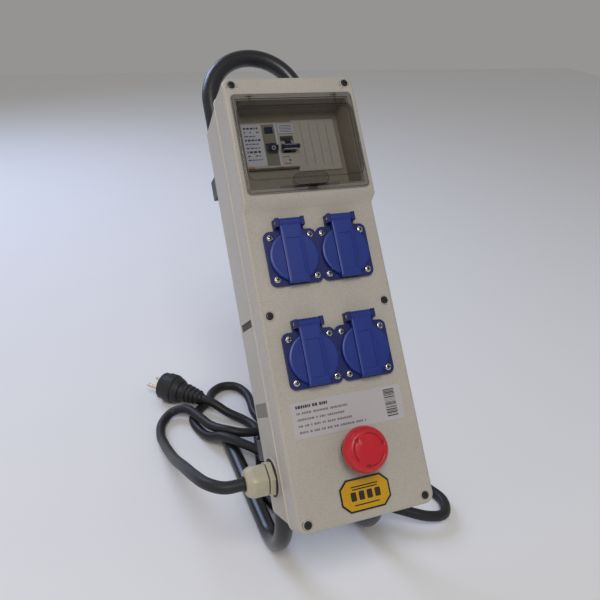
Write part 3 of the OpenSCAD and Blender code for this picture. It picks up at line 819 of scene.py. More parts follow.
def cross_screw(head_r: float, head_h: float) -> bpy.types.Object:
    """A pan head with a cross recess, its underside on the origin and facing -Y.

    Args:
        head_r: radius of the head.
        head_h: height of the head.

    Returns:
        The template.
    """
    shape = Shape()
    dome = [(head_r * 0.96, 0.0), (head_r, 0.25 * head_h)]
    dome += [(head_r * math.cos(a), head_h * (0.25 + 0.75 * math.sin(a)))
             for a in (math.radians(d) for d in (20, 40, 58, 74))]
    shape.turned(dome, (0, 0, 0), (0, -1, 0), sides=24)
    head = shape.settle("screw_template", [STEEL], place=Matrix.Identity(4))
    cutter = Shape()
    cutter.prism(cross_outline(0.66 * head_r, 0.2 * head_r), -1.2 * head_h, -0.35 * head_h)
    carve(head, cutter.settle("cross", [STEEL], place=Matrix.Identity(4)))
    return head


# ---- the tube frame ----


@dataclass
class TubeFrame:
    """The bent tube that is stand and handle, with its end plugs and saddles."""

    sides: int = 36
    step: float = 6.0

    def side_path(self, s: int) -> list[Vector]:
        """Centreline of one leg from its foot's rear end up to the arch.

        Args:
            s: -1 for the left leg, 1 for the right one.

        Returns:
            Points in enclosure millimetres.
        """
        t = STANCE
        x = s * t.leg_x
        end = math.radians(90.0 + t.lean)
        path = []
        centre = Vector((x, t.bend_y, t.leg_low))
        out = Vector((0, -math.cos(end), -math.sin(end)))
        ahead = Vector((0, math.sin(end), -math.cos(end)))
        count = round(t.foot_len / self.step)
        for k in range(count, 0, -1):
            path.append(centre + out * t.bend_r + ahead * t.foot_len * k / count)
        turns = 28
        for k in range(turns, -1, -1):
            a = end * k / turns
            path.append(centre + Vector((0, -math.cos(a), -math.sin(a))) * t.bend_r)
        rise = t.arch_z - t.leg_low
        count = round(rise / self.step)
        for k in range(1, count):
            path.append(Vector((x, t.leg_y, t.leg_low + rise * k / count)))
        return path

    def build(self) -> None:
        """The tube in one piece, its plugs, saddles and screws."""
        t = STANCE
        arch = [Vector((-t.leg_x * math.cos(math.pi * k / 40), t.leg_y,
                        t.arch_z + t.leg_x * math.sin(math.pi * k / 40))) for k in range(41)]
        path = [*self.side_path(-1), *arch, *reversed(self.side_path(1))]
        shape = Shape()
        shape.swept(path, t.tube_r, self.sides)
        fit(shape.settle("bent_tube", [FRAME_PAINT]), Body.HOUSING, FRAME_PAINT,
            "tube_frame", "foot_tubes")
        refine("foot_end_caps", "foot_plugs", SEAL_RUBBER, bevel=0.8)
        refine("frame_saddles", "saddles", BLACK_PLASTIC_AND_NOTCH_SHADE, bevel=0.6)
        refine("frame_saddle_screws", "saddle_screws", STEEL, bevel=0.2)


# ---- the enclosure ----


@dataclass
class Enclosure:
    """Front cover and rear base with their seam, inserts and cover screws."""

    width: float = 130.0
    height: float = 405.0
    bottom: float = -7.5
    corner: float = 9.0
    raise_d: float = 11.0
    roll: float = 2.8
    draft: float = 7.0
    seam_y: float = 24.6
    screw_x: float = 56.0
    screw_rows: tuple[tuple[float, float], ...] = ((0.0, 0.0), (178.5, 0.0), (390.3, -11.0))

    @property
    def middle(self) -> float:
        """Height of the enclosure's middle."""
        return self.bottom + self.height / 2

    def edge_gap(self, p: Vector) -> float:
        """How far a point lies inside the cover's outline.

        Args:
            p: a point in enclosure millimetres.

        Returns:
            The distance, or 0 on the outline.
        """
        qx = abs(p.x) - (self.width / 2 - self.corner)
        qz = abs(p.z - self.middle) - (self.height / 2 - self.corner)
        if qx > 0 and qz > 0:
            return self.corner - math.hypot(qx, qz)
        return self.corner - max(qx, qz)

    def cover(self) -> None:
        """The front cover, with its outer front edges rolled over."""
        shape = merged_copy("cover_shell")
        edges = []
        for e in shape.bm.edges:
            if len(e.link_faces) != 2:
                continue
            fronts = sorted(f.normal.y for f in e.link_faces)
            rim = max(self.edge_gap(v.co) for v in e.verts) < 0.12
            if rim and fronts[0] < -0.4 and abs(fronts[1]) < 0.15:
                edges.append(e)
        bmesh.ops.bevel(shape.bm, geom=edges, offset=self.roll, segments=5, profile=0.5,
                        affect="EDGES", clamp_overlap=False)
        for v in shape.bm.verts:
            for level in (0.0, -self.raise_d):
                if abs(v.co.y - level) < 0.06:
                    v.co.y = level
        bmesh.ops.triangulate(shape.bm, faces=[f for f in shape.bm.faces if len(f.verts) > 4])
        obj = shape.settle("cover", [SHELL], place=Matrix.Identity(4), recount=False)
        ears = Shape()
        ears.block((-52.0, -30.0, 380.9), (52.0, -self.raise_d - 0.02, 396.0))
        carve(obj, ears.settle("ear_cutter", [SHELL], place=Matrix.Identity(4)))
        obj.data.transform(LEANING)
        soften(obj, 32.0)
        fit(obj, Body.HOUSING, SHELL, "cover_shell")

    def base(self) -> None:
        """The rear base, its ends drawn in towards the back."""
        shape = merged_copy("base_shell")
        for v in shape.bm.verts:
            depth = max(0.0, (v.co.y - 30.0) / 47.0)
            reach = (v.co.z - self.middle) / (self.height / 2)
            if abs(reach) > 0.9 and depth > 0:
                v.co.z -= math.copysign(self.draft * depth, reach)
        obj = shape.settle("base", [SHELL], bevel=0.6, recount=False)
        fit(obj, Body.HOUSING, SHELL, "base_shell")

    def seam(self) -> None:
        """A bead along the cover's rear rim, painted pale as a highlight, and a dark bead behind
        it, painted as the shadow in the gap.
        """
        for name, y, r, inset, finish in (("seam_bead", self.seam_y, 1.0, 0.25, SEAM_PAINTED_HIGHLIGHT),
                                          ("seam_shadow", self.seam_y + 1.5, 0.7, 0.6,
                                           SEAM_PAINTED_SHADOW)):
            outline = rounded_ring(self.width - 2 * inset, self.height - 2 * inset,
                                   self.corner - inset, y, 0.0, self.middle, 10)
            shape = Shape()
            shape.bead(outline, r)
            fit(shape.settle(name, [finish]), Body.HOUSING, finish)

    def screws(self) -> None:
        """Cover screws deep in their collars, six of each."""
        spots = [(s * self.screw_x, y + 1.2, z) for z, y in self.screw_rows for s in (-1, 1)]
        shape = Shape()
        shape.turned([(3.3, 0.0), (3.3, 1.6), (2.9, 2.2), (1.4, 2.45)], (0, 0, 0), (0, -1, 0), 28)
        template = shape.settle("plug_template", [SCREW_BLACK_AND_RECESS_SHADE], place=Matrix.Identity(4))
        cutter = Shape()
        cutter.prism([(-2.2, -0.4), (2.2, -0.4), (2.2, 0.4), (-2.2, 0.4)], -3.0, -1.6)
        carve(template, cutter.settle("slot", [SCREW_BLACK_AND_RECESS_SHADE], place=Matrix.Identity(4)))
        obj = REPEATER.spread("cover_screw_heads", spots, [(1.0, 1.0, 1.0)] * len(spots),
                              template, SCREW_BLACK_AND_RECESS_SHADE, turn=(0.0, 0.6, 0.0))
        bpy.data.objects.remove(template)
        fit(obj, Body.HOUSING, SCREW_BLACK_AND_RECESS_SHADE, "cover_screws")
        shape = Shape()
        shape.turned([(3.6, 0.0), (3.6, -1.0), (4.0, -1.1), (4.45, -0.95), (4.5, 0.0)],
                     (0, 0, 0), (0, 1, 0), 32, looped=True)
        template = shape.settle("collar_template", [PALE], place=Matrix.Identity(4))
        spots = [(s * self.screw_x, y + 0.75, z) for z, y in self.screw_rows for s in (-1, 1)]
        obj = REPEATER.spread("screw_collars", spots, [(1.0, 1.0, 1.0)] * len(spots),
                              template, PALE)
        bpy.data.objects.remove(template)
        fit(obj, Body.HOUSING, PALE, "cover_screw_collars")

    def build(self) -> None:
        """Every piece of the enclosure."""
        self.cover()
        self.base()
        self.seam()
        self.screws()
        # The upper slot's insert is near black: its own dark plastic, darkened further as painted
        # shade of the slot.
        refine("side_slot_insert", "side_slot", INSERT_DARK_AND_SHADE, bevel=0.1)
        refine("side_blank_insert", "side_blank", INSERT_GREY, bevel=0.1)
        refine("device_mask", "device_surround", INSIDE, bevel=0.5)
        paint("cover_gasket", SEAL_RUBBER)


# ---- the window ----


@dataclass
class Window:
    """The smoked door: a flat tray, a raised bubble, hinge lugs and a finger grip."""

    width: float = 119.0
    low: float = 285.0
    high: float = 380.5
    back_y: float = -11.35
    front_y: float = -19.3
    tray_d: float = 2.2
    wall: float = 1.8
    side_inset: float = 3.6
    top_inset: float = 13.0
    foot_inset: float = 13.5
    lug_x: float = 42.0
    grip: float = 17.0

    def door(self) -> None:
        """Tray and bubble as one thin shell, open behind."""
        z = (self.low + self.high) / 2
        h = self.high - self.low
        tray = self.back_y - self.tray_d
        bubble_w = self.width - 2 * self.side_inset
        bubble_h = h - self.top_inset - self.foot_inset
        bubble_z = z + (self.foot_inset - self.top_inset) / 2
        rings = [rounded_ring(self.width, h, 4.0, self.back_y, 0, z),
                 rounded_ring(self.width, h, 4.0, tray + 0.5, 0, z),
                 rounded_ring(self.width - 1.2, h - 1.2, 3.6, tray, 0, z),
                 rounded_ring(bubble_w + 1.6, bubble_h + 1.6, 7.0, tray - 0.1, 0, bubble_z),
                 rounded_ring(bubble_w, bubble_h, 6.2, tray - 0.8, 0, bubble_z),
                 rounded_ring(bubble_w - 1.6, bubble_h - 1.6, 5.6, self.front_y + 0.9, 0,
                              bubble_z),
                 rounded_ring(bubble_w - 3.6, bubble_h - 3.6, 5.0, self.front_y, 0, bubble_z)]
        w = self.wall
        inner = [rounded_ring(bubble_w - 4.6, bubble_h - 4.6, 4.4, self.front_y + w, 0, bubble_z),
                 rounded_ring(bubble_w - 4.0, bubble_h - 4.0, 4.4, self.front_y + w + 0.9, 0,
                              bubble_z),
                 rounded_ring(bubble_w - 3.4, bubble_h - 3.4, 4.8, self.back_y, 0, bubble_z)]
        shape = Shape()
        shape.loft([*rings, *inner])
        bm = shape.bm
        inside = [f for f in bm.faces if len(f.verts) > 4
                  and abs(f.calc_center_median().y - self.back_y) < 0.1]
        bmesh.ops.delete(bm, geom=inside, context="FACES_ONLY")
        caps = [f for f in bm.faces if len(f.verts) > 4]
        bmesh.ops.delete(bm, geom=caps, context="FACES_ONLY")
        bm.verts.ensure_lookup_table()
        n = len(rings[0])
        count = len(rings) + len(inner)
        row = [[bm.verts[i * n + k] for k in range(n)] for i in range(count)]
        top, under = len(rings) - 1, len(rings)
        for k in range(n):
            m = (k + 1) % n
            between = bm.faces.get((row[top][k], row[top][m], row[under][m], row[under][k]))
            if between:
                bm.faces.remove(between)
            bm.faces.new((row[0][k], row[0][m], row[-1][m], row[-1][k]))
        bm.faces.new(row[top])
        bm.faces.new(list(reversed(row[under])))
        # Bubble walls and the tray's side take the darker smoke, painted shade of walls seen edge
        # on.
        for f in bm.faces:
            c = f.calc_center_median()
            steep = tray - 0.2 > c.y > self.front_y + 0.2
            outer = c.y < tray + 0.6 and abs(c.y - (tray + 0.25)) < 0.3
            f.material_index = 1 if steep or outer else 0
        # A near-black bead round the bubble's foot: its outline painted as shade.
        rim = rounded_ring(bubble_w + 1.0, bubble_h + 1.0, 6.7, tray - 0.35, 0, bubble_z, 8)
        shape.bead(rim, 0.62, 3)
        # A pale blue bead round the tray's edge: painted highlight.
        edge = rounded_ring(self.width - 2.4, h - 2.4, 3.2, tray - 0.05, 0, z, 8)
        shape.bead(edge, 0.5, 2)
        for s in (-1, 1):
            x = s * self.lug_x
            shape.plate(1.3, 10.0, 0.4, tray - 0.5, tray + 0.5, x, self.high - 6.6, 0.2, 3)
        obj = shape.settle("smoked_door", [SMOKE, SMOKE_WALL_SHADE, SMOKE_PAINTED_HIGHLIGHT, SMOKE_LUGS_AND_OUTLINE_SHADE],
                           angle=50.0)
        fit(obj, Body.DOOR, SMOKE, "window_door")

    def latch(self) -> None:
        """The grip at the door's foot: a domed finger pad, two arms, pale blue edges as a painted
        highlight, and a dark tab painted as the shade of the notch under it.
        """
        z = self.low + 7.0
        front = self.front_y - 1.6
        tray = self.back_y - self.tray_d
        shape = Shape()
        shape.loft([rounded_ring(2 * self.grip, 11.0, 5.0, tray - 0.1, 0, z + 2.2),
                    rounded_ring(2 * self.grip, 11.0, 5.0, front + 1.4, 0, z + 2.2),
                    rounded_ring(2 * self.grip - 1.2, 9.8, 4.6, front + 0.4, 0, z + 2.2),
                    rounded_ring(2 * self.grip - 4.0, 7.6, 3.4, front, 0, z + 2.2)])
        # Pale blue painted highlight on the arms' bar here and on the bead round the pad below.
        shape.plate(58.0, 2.2, 0.9, tray - 1.6, tray - 0.1, 0, z - 2.0, 0.8, 1)
        # The small near-black plate is painted shade of the notch under the grip.
        shape.plate(9.0, 2.6, 0.6, tray - 2.9, tray - 1.0, 1.5, z - 4.6, 0.4, 2)
        shape.bead(rounded_ring(2 * self.grip - 0.4, 10.8, 5.0, front + 0.9, 0, z + 2.2, 8),
                   0.5, 1)
        obj = shape.settle("finger_grip", [LATCH, LATCH_PAINTED_HIGHLIGHT, BLACK_PLASTIC_AND_NOTCH_SHADE], bevel=0.2)
        fit(obj, Body.DOOR, LATCH, "door_latch")

    def build(self) -> None:
        """The door, its grip and its pins."""
        self.door()
        self.latch()
        pins = Shape()
        for s in (-1, 1):
            pins.turned([(0.7, -3.2), (0.9, -3.0), (0.9, 3.0), (0.7, 3.2)],
                        (s * self.lug_x, self.back_y - 1.1, self.high - 1.3), (1, 0, 0), 16)
        fit(pins.settle("hinge_pins", [STEEL]), Body.HOUSING, STEEL, "door_hinge_pins")


# ---- the modular devices ----


@dataclass
class Devices:
    """Residual current device, circuit breaker and blanking plate behind the window."""

    nose_y: float = 12.0
    rail_z: float = 341.0
    nose_h: float = 44.8
    rcd: tuple[float, float] = (-48.6, -13.1)
    mcb: tuple[float, float] = (-12.9, 4.8)
    blank: tuple[float, float] = (5.0, 49.2)
    blank_y: float = 16.5
    pivot_y: float = 17.0
    paddle_len: float = 13.0
    paddle_dip: float = 25.0
    modules: int = 5
    seed: int = 7

    def residual_device(self) -> None:
        """The wide device: printed panel at its left, lever and test button at its right."""
        refine("rcd_body", "rcd_case", DEVICE, bevel=0.3)
        panel = Shape()
        x0, x1 = self.rcd[0] + 1.2, self.rcd[1] - 14.5
        panel.plate(x1 - x0, 41.0, 0.8, self.nose_y - 0.5, self.nose_y + 0.1, (x0 + x1) / 2,
                    self.rail_z, 0.3)
        fit(panel.settle("rcd_panel", [DEVICE_PANEL]), Body.HOUSING, DEVICE_PANEL)
        draw = random.Random(self.seed)
        rows = []
        for k in range(9):
            z = self.rail_z + 17.0 - 3.9 * k
            x = x0 + 2.0
            while x < x1 - 4.0:
                w = draw.uniform(1.4, 3.6)
                if draw.random() < 0.8:
                    rows.append((x + w / 2, z, w, 1.1 if k % 3 else 1.9))
                x += w + 0.9
        print_and_shade_bars("rcd_print", rows, self.nose_y - 0.5, PRINT_BLUE)
        refine("rcd_lever", "rcd_toggle", NAVY, Body.RCD_TOGGLE, 0.4)
        low, high = box_mm("rcd_lever")
        dip = math.radians(self.paddle_dip)
        out = Vector((0, -math.cos(dip), -math.sin(dip)))
        tip = Vector(((low.x + high.x) / 2, self.pivot_y, self.rail_z)) + out * self.paddle_len
        ring = Shape()
        ring.turned([(1.3, -0.1), (1.3, 0.2), (1.95, 0.2), (1.95, -0.1)], tuple(tip),
                    tuple(out), 28, looped=True)
        fit(ring.settle("rcd_off_mark", [DEVICE_PANEL]), Body.RCD_TOGGLE, DEVICE_PANEL)
        refine("rcd_test_button", "rcd_test", NAVY, Body.RCD_TEST, 0.3)
        # The well round the lever is darker as painted shade of the lever's recess.
        well = Shape()
        well.plate(15.6, 41.0, 0.6, self.nose_y - 0.25, self.nose_y + 0.05, self.rcd[1] - 8.6,
                   self.rail_z, 0.1)
        fit(well.settle("rcd_lever_surround", [RECESS_SHADE]), Body.HOUSING, RECESS_SHADE)
        strip = Shape()
        strip.plate(2.0, 44.0, 0.6, self.nose_y - 1.4, self.nose_y + 0.05, self.rcd[1] - 1.1,
                    self.rail_z, 0.5)
        fit(strip.settle("rcd_edge_strip", [DEVICE_PANEL]), Body.HOUSING, DEVICE_PANEL)
        print_and_shade_bars("rcd_colour_mark", [(x0 + 4.0, self.rail_z - 21.6, 6.0, 1.3)],
                   self.nose_y, PRINT_ORANGE)

    def circuit_breaker(self) -> None:
        """The narrow device with its wide lever and its label holder."""
        refine("mcb_body", "mcb_case", DEVICE, bevel=0.3)
        refine("mcb_lever", "mcb_toggle", DRUM, Body.MCB_TOGGLE, 0.5)
        low, high = box_mm("mcb_lever")
        bar = Shape()
        bar.turned([(1.7, self.mcb[0] + 0.3), (2.3, self.mcb[0] + 0.9), (2.3, self.mcb[1] + 0.2),
                    (1.7, self.mcb[1] + 0.8)], (0, low.y + 2.4, low.z + 3.4), (1, 0, 0), 24)
        mid = (low.x + high.x) / 2 + 0.6
        bar.turned([(5.0, mid - 3.2), (5.62, mid - 3.2), (5.62, mid + 3.2), (5.0, mid + 3.2)],
                   (0, self.pivot_y, self.rail_z), (1, 0, 0), 40, looped=True)
        fit(bar.settle("mcb_toggle_bar", [NAVY]), Body.MCB_TOGGLE, NAVY)
        refine("mcb_label_holder", "mcb_label", DEVICE_PANEL, bevel=0.3)
        low, high = box_mm("mcb_label_holder")
        count = 5
        ribs = [((low.x + high.x) / 2, low.z + 1.6 + k * (high.z - low.z - 3.2) / (count - 1),
                 high.x - low.x - 3.0, 0.5) for k in range(count)]
        print_and_shade_bars("mcb_label_lines", ribs, low.y, PRINT_BLUE)
        x = self.mcb[0]
        base = self.rail_z - 20.5
        marks = [(x + 8.4, base + 4.6, 2.6, 1.5), (x + 3.4, base + 8.0, 2.0, 0.8),
                 (x + 6.6, base + 8.0, 3.0, 0.8)]
        print_and_shade_bars("mcb_blue_mark", marks, self.nose_y, PRINT_BLUE)
        print_and_shade_bars("mcb_orange_mark", [(x + 5.8, base + 1.4, 7.0, 1.2)], self.nose_y, PRINT_ORANGE)

    def blanking(self) -> None:
        """The cover over the free modules, scored so that they snap off one by one."""
        (x0, x1), y = self.blank, self.blank_y
        pitch = (x1 - x0) / self.modules
        groove = 0.35
        front = [(x0, y)]
        for k in range(1, self.modules):
            x = x0 + k * pitch
            front += [(x - groove, y), (x, y + groove), (x + groove, y)]
        front.append((x1, y))
        low, high = box_mm("blanking_plate")
        outline = [*front, (x1, high.y), (x0, high.y)]
        shape = Shape()
        shape.loft([[Vector((px, py, z)) for px, py in outline] for z in (low.z, high.z)])
        fit(shape.settle("scored_blank", [DEVICE], bevel=0.12), Body.HOUSING, DEVICE,
            "blanking_plate")
        # Darker lines along the scores: painted shade in the grooves.
        scores = [(x0 + k * pitch, self.rail_z, 0.45, self.nose_h - 1.0)
                  for k in range(1, self.modules)]
        print_and_shade_bars("blank_scores", scores, y, SCORE_SHADE, ink=0.02)

    def build(self) -> None:
        """Every device, and the hidden parts behind them."""
        self.residual_device()
        self.circuit_breaker()
        self.blanking()
        for node, finish in (("din_rail", STEEL), ("din_rail_posts", PALE),
                             ("terminal_bars", BRASS), ("terminal_bar_holders", GREEN),
                             ("supply_wires", WIRE)):
            paint(node, finish)


def box_mm(node: str) -> tuple[Vector, Vector]:
    """Lowest and highest corner of a CAD node in enclosure millimetres.

    Args:
        node: the CAD node's name.

    Returns:
        The two corners.
    """
    inverse = LEANING.inverted()
    points = [inverse @ v.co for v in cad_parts[node].data.vertices]
    return (Vector([min(p[i] for p in points) for i in range(3)]),
            Vector([max(p[i] for p in points) for i in range(3)]))


# ---- the outlets ----


@dataclass
class Outlets:
    """Four outlets with square flanges, sprung round flaps and cross-head screws."""

    across: float = 25.0
    rows: tuple[float, float] = (228.0, 136.3)
    pitch: float = 38.0
    flange_y: float = -3.5
    lid_r: float = 23.2
    lid_back: float = -3.8
    lid_front: float = -7.8
    spine: float = 10.0
    spine_front: float = -10.3
    hinge_y: float = -7.8
    hinge_up: float = 31.0
    head_r: float = 3.2

    @property
    def centres(self) -> list[tuple[float, float]]:
        """Middle of each outlet, the upper pair first."""
        return [(s * self.across, z) for z in self.rows for s in (-1, 1)]

    def lid(self, number: int, x: float, z: float) -> None:
        """One flap: a dished disc and a raised spine with a sunk panel.

        Args:
            number: the outlet's number.
            x: its middle across.
            z: its middle up.
        """
        shape = Shape()
        r, front, back = self.lid_r, self.lid_front, self.lid_back
        disc = [(18.8, back), (r - 0.5, back), (r, back - 0.6), (r, front + 1.4),
                (r - 0.35, front + 0.6), (r - 1.2, front + 0.15), (r - 2.6, front),
                (r - 3.2, front + 0.25), (10.0, front + 0.1), (0.4, front), (0.4, back - 2.0),
                (18.8, back - 2.0)]
        shape.turned([(rr, -yy) for rr, yy in disc], (x, 0, z), (0, -1, 0), 72, looped=True)
        low, high = z - 24.3, z + self.hinge_up - 1.5
        mid, tall = (low + high) / 2, high - low
        w, top = 2 * self.spine, self.spine_front
        panel_z, panel_h, panel_w = z - 0.5, 33.0, 12.4
        shape.loft([rounded_ring(w, tall, 1.6, front + 1.5, x, mid),
                    rounded_ring(w, tall, 1.6, top + 1.1, x, mid),
                    rounded_ring(w - 0.6, tall - 0.6, 1.4, top + 0.35, x, mid),
                    rounded_ring(w - 2.0, tall - 2.0, 1.0, top, x, mid),
                    rounded_ring(panel_w + 0.7, panel_h + 0.7, 0.6, top, x, panel_z),
                    rounded_ring(panel_w, panel_h, 0.5, top + 0.7, x, panel_z)])
        cut, end = 2.7, self.spine
        shape.turned([(cut, -end), (3.7, -end), (4.0, 0.4 - end), (4.0, end - 0.4), (3.7, end),
                      (cut, end)], (x, self.hinge_y, z + self.hinge_up), (1, 0, 0), 32,
                     looped=True)
        obj = shape.settle(f"flap_{number}", [LID_BLUE], angle=38.0)
        fit(obj, Body(f"lid_{number}"), LID_BLUE, f"socket_lid_{number}")

    def build(self) -> None:
        """Flanges, flaps, screws and the hidden contacts."""
        for number, (x, z) in enumerate(self.centres, 1):
            refine(f"socket_body_{number}", f"outlet_{number}", BLUE, bevel=0.5)
            self.lid(number, x, z)
        template = cross_screw(self.head_r, 1.9)
        half = self.pitch / 2
        spots = [(x + a * half, self.flange_y, z + b * half)
                 for x, z in self.centres for a in (-1, 1) for b in (-1, 1)]
        obj = REPEATER.spread("outlet_screws", spots, [(1.0, 1.0, 1.0)] * len(spots), template,
                              STEEL, turn=(0.0, 0.35, 0.0))
        bpy.data.objects.remove(template)
        fit(obj, Body.HOUSING, STEEL, "socket_screws")
        # Black crosses at the bottom of the steel heads' recesses: painted shade in the recesses.
        shape = Shape()
        shape.prism(cross_outline(0.6 * self.head_r, 0.16 * self.head_r), -1.25, -1.1)
        shade = shape.settle("recess_template", [SCREW_BLACK_AND_RECESS_SHADE], place=Matrix.Identity(4))
        obj = REPEATER.spread("outlet_screw_recesses", spots, [(1.0, 1.0, 1.0)] * len(spots),
                              shade, SCREW_BLACK_AND_RECESS_SHADE, turn=(0.0, 0.35, 0.0))
        bpy.data.objects.remove(shade)
        fit(obj, Body.HOUSING, SCREW_BLACK_AND_RECESS_SHADE)
        for node, finish in (("lid_hinge_pins", STEEL), ("lid_springs", STEEL),
                             ("socket_gaskets", SEAL_RUBBER), ("socket_sleeves", BRASS),
                             ("socket_earth_pins", BRASS)):
            paint(node, finish)


# ---- the stop button ----


@dataclass
class StopButton:
    """Red mushroom with turn-to-release arrows over a dark collar."""

    z: float = 52.0
    crown: float = -28.0
    arrow_r: float = 13.4
    arrow_w: float = 1.1
    arrow_barb: float = 2.3
    arrow_point: float = 17.0
    sweep: float = 74.0

    def arrow(self, start: float) -> list[tuple[float, float]]:
        """Outline of one arc arrow that points clockwise.

        Args:
            start: angle of its tail, in degrees.

        Returns:
            Points of x and z.
        """
        steps = 10
        inner, outer = self.arrow_r - self.arrow_w / 2, self.arrow_r + self.arrow_w / 2
        turn = [math.radians(start - self.sweep * k / steps) for k in range(steps + 1)]
        arc = [(outer * math.cos(a), outer * math.sin(a)) for a in turn]
        tip = math.radians(start - self.sweep - self.arrow_point)
        barb = self.arrow_barb
        head = [((self.arrow_r + off) * math.cos(a), (self.arrow_r + off) * math.sin(a))
                for off, a in ((barb, turn[-1]), (0.0, tip), (-barb, turn[-1]))]
        back = [(inner * math.cos(a), inner * math.sin(a)) for a in reversed(turn)]
        return [(x, self.z + z) for x, z in (*arc, *head, *back)]

    def mushroom(self) -> None:
        """The head, its arrows cut in, and the arrows' floors, darker as painted shade in the
        grooves.
        """
        depth = [(6.3, 14.0), (17.5, 14.0), (19.4, 14.6), (19.9, 16.0), (20.0, 18.4), (19.8, 20.6),
                 (19.2, 23.0), (18.4, 25.0), (17.5, 26.5), (16.4, 27.45), (15.2, 27.9),
                 (13.0, 28.0), (6.0, 28.0), (0.02, 28.0), (0.02, 20.3), (6.3, 20.3)]
        shape = Shape()
        shape.turned(depth, (0, 0, self.z), (0, -1, 0), 96, looped=True)
        head = shape.settle("mushroom_head", [RED], place=Matrix.Identity(4), angle=40.0)
        floors = Shape()
        for start in (95.0, 215.0, 335.0):
            cutter = Shape()
            cutter.prism(self.arrow(start), self.crown - 1.0, self.crown + 0.7)
            carve(head, cutter.settle("arrow", [RED], place=Matrix.Identity(4)))
            floors.prism(self.arrow(start), self.crown + 0.62, self.crown + 0.9)
        head.data.transform(LEANING)
        soften(head, 36.0)
        fit(head, Body.MUSHROOM, RED, "stop_head")
        fit(floors.settle("arrow_floors", [RED_GROOVE_SHADE]), Body.MUSHROOM, RED_GROOVE_SHADE)

    def build(self) -> None:
        """Head, stem, collar and what is behind the cover."""
        self.mushroom()
        collar = Shape()
        knurl = 36
        collar.turned([(7.3, 0.0), (14.4, 0.0), (14.5, 0.8), (14.2, 4.6), (13.4, 5.7),
                       (11.0, 6.0), (7.3, 6.0)], (0, 0, self.z), (0, -1, 0), 144,
                      swell=lambda a, t: 1.0 + (0.012 * math.cos(knurl * a) if 0.5 < t < 5 else 0),
                      looped=True)
        fit(collar.settle("stop_collar_ring", [BLACK_PLASTIC_AND_NOTCH_SHADE]), Body.HOUSING, BLACK_PLASTIC_AND_NOTCH_SHADE,
            "stop_collar")
        refine("stop_plunger", "stop_stem_rod", BLACK_PLASTIC_AND_NOTCH_SHADE, Body.STEM, 0.2)
        for node, finish in (("stop_nut", BLACK_PLASTIC_AND_NOTCH_SHADE), ("stop_contact_block", PALE),
                             ("stop_spring", STEEL)):
            paint(node, finish)


# ---- the gland ----


@dataclass
class Gland:
    """Cable gland on the left wall: boss, seal, hexagonal collar and dome nut."""

    wall: float = -63.5
    y: float = 50.0
    z: float = 39.0
    nut_r: float = 15.4
    end: float = -92.0

    def facets(self, amount: float, count: int) -> Callable[[float, float], float]:
        """A factor on the radius that makes flats.

        Args:
            amount: 1 for full flats, 0 for a round.
            count: number of flats.

        Returns:
            A function of the angle and the distance along.
        """
        def factor(a: float, _: float) -> float:
            """Radius of a polygon over that of its round, at an angle."""
            span = TAU / count
            off = (a % span) - span / 2
            flat = math.cos(span / 2) / math.cos(off)
            return 1.0 + (flat - 1.0) * amount
        return factor

    def build(self) -> None:
        """Every piece from the wall outwards."""
        at = (self.wall, self.y, self.z)
        boss = Shape()
        boss.turned([(11.0, 0.0), (17.6, 0.0), (17.6, 1.6), (17.0, 2.3), (11.0, 2.3)], at,
                    (-1, 0, 0), 64, looped=True)
        fit(boss.settle("gland_boss", [SHELL]), Body.HOUSING, SHELL)
        seal = Shape()
        seal.turned([(10.2, 2.3), (17.2, 2.3), (17.5, 2.8), (17.2, 3.3), (10.2, 3.3)], at,
                    (-1, 0, 0), 64, looped=True)
        fit(seal.settle("gland_ring", [SEAL_RUBBER]), Body.HOUSING, SEAL_RUBBER, "gland_seal")
        collar = Shape()
        collar.turned([(8.2, 3.3), (16.0, 3.3), (16.6, 3.8), (16.6, 7.6), (16.0, 8.3), (8.2, 8.3)],
                      at, (-1, 0, 0), 72, swell=self.facets(0.8, 6), looped=True)
        fit(collar.settle("gland_collar", [BEIGE], bevel=0.25), Body.HOUSING, BEIGE, "gland_body")
        nut = Shape()
        span = self.wall - self.end
        round_r = 5.0
        rings = [(7.6, 9.0), (14.2, 9.0), (self.nut_r, 9.9), (self.nut_r, span - 10.5)]
        rings += [(self.nut_r - 6.2 * (1 - math.cos(a)), span - 10.5 + 10.5 * math.sin(a))
                  for a in (math.radians(d) for d in (18, 36, 52, 66, 78, 88))]
        rings += [(round_r + 1.6, span), (round_r + 1.2, span - 1.5)]
        flats = self.facets(0.75, 6)
        nut.turned(rings, at, (-1, 0, 0), 96,
                   swell=lambda a, t: 1.0 + (flats(a, t) - 1.0) * (1.0 if t < 19 else 0.45),
                   looped=True)
        fit(nut.settle("gland_dome_nut", [BEIGE], angle=24.0), Body.HOUSING, BEIGE, "gland_nut")
        paint("gland_grommet", RUBBER)
        paint("gland_locknut", BEIGE)


# ---- label and plate ----


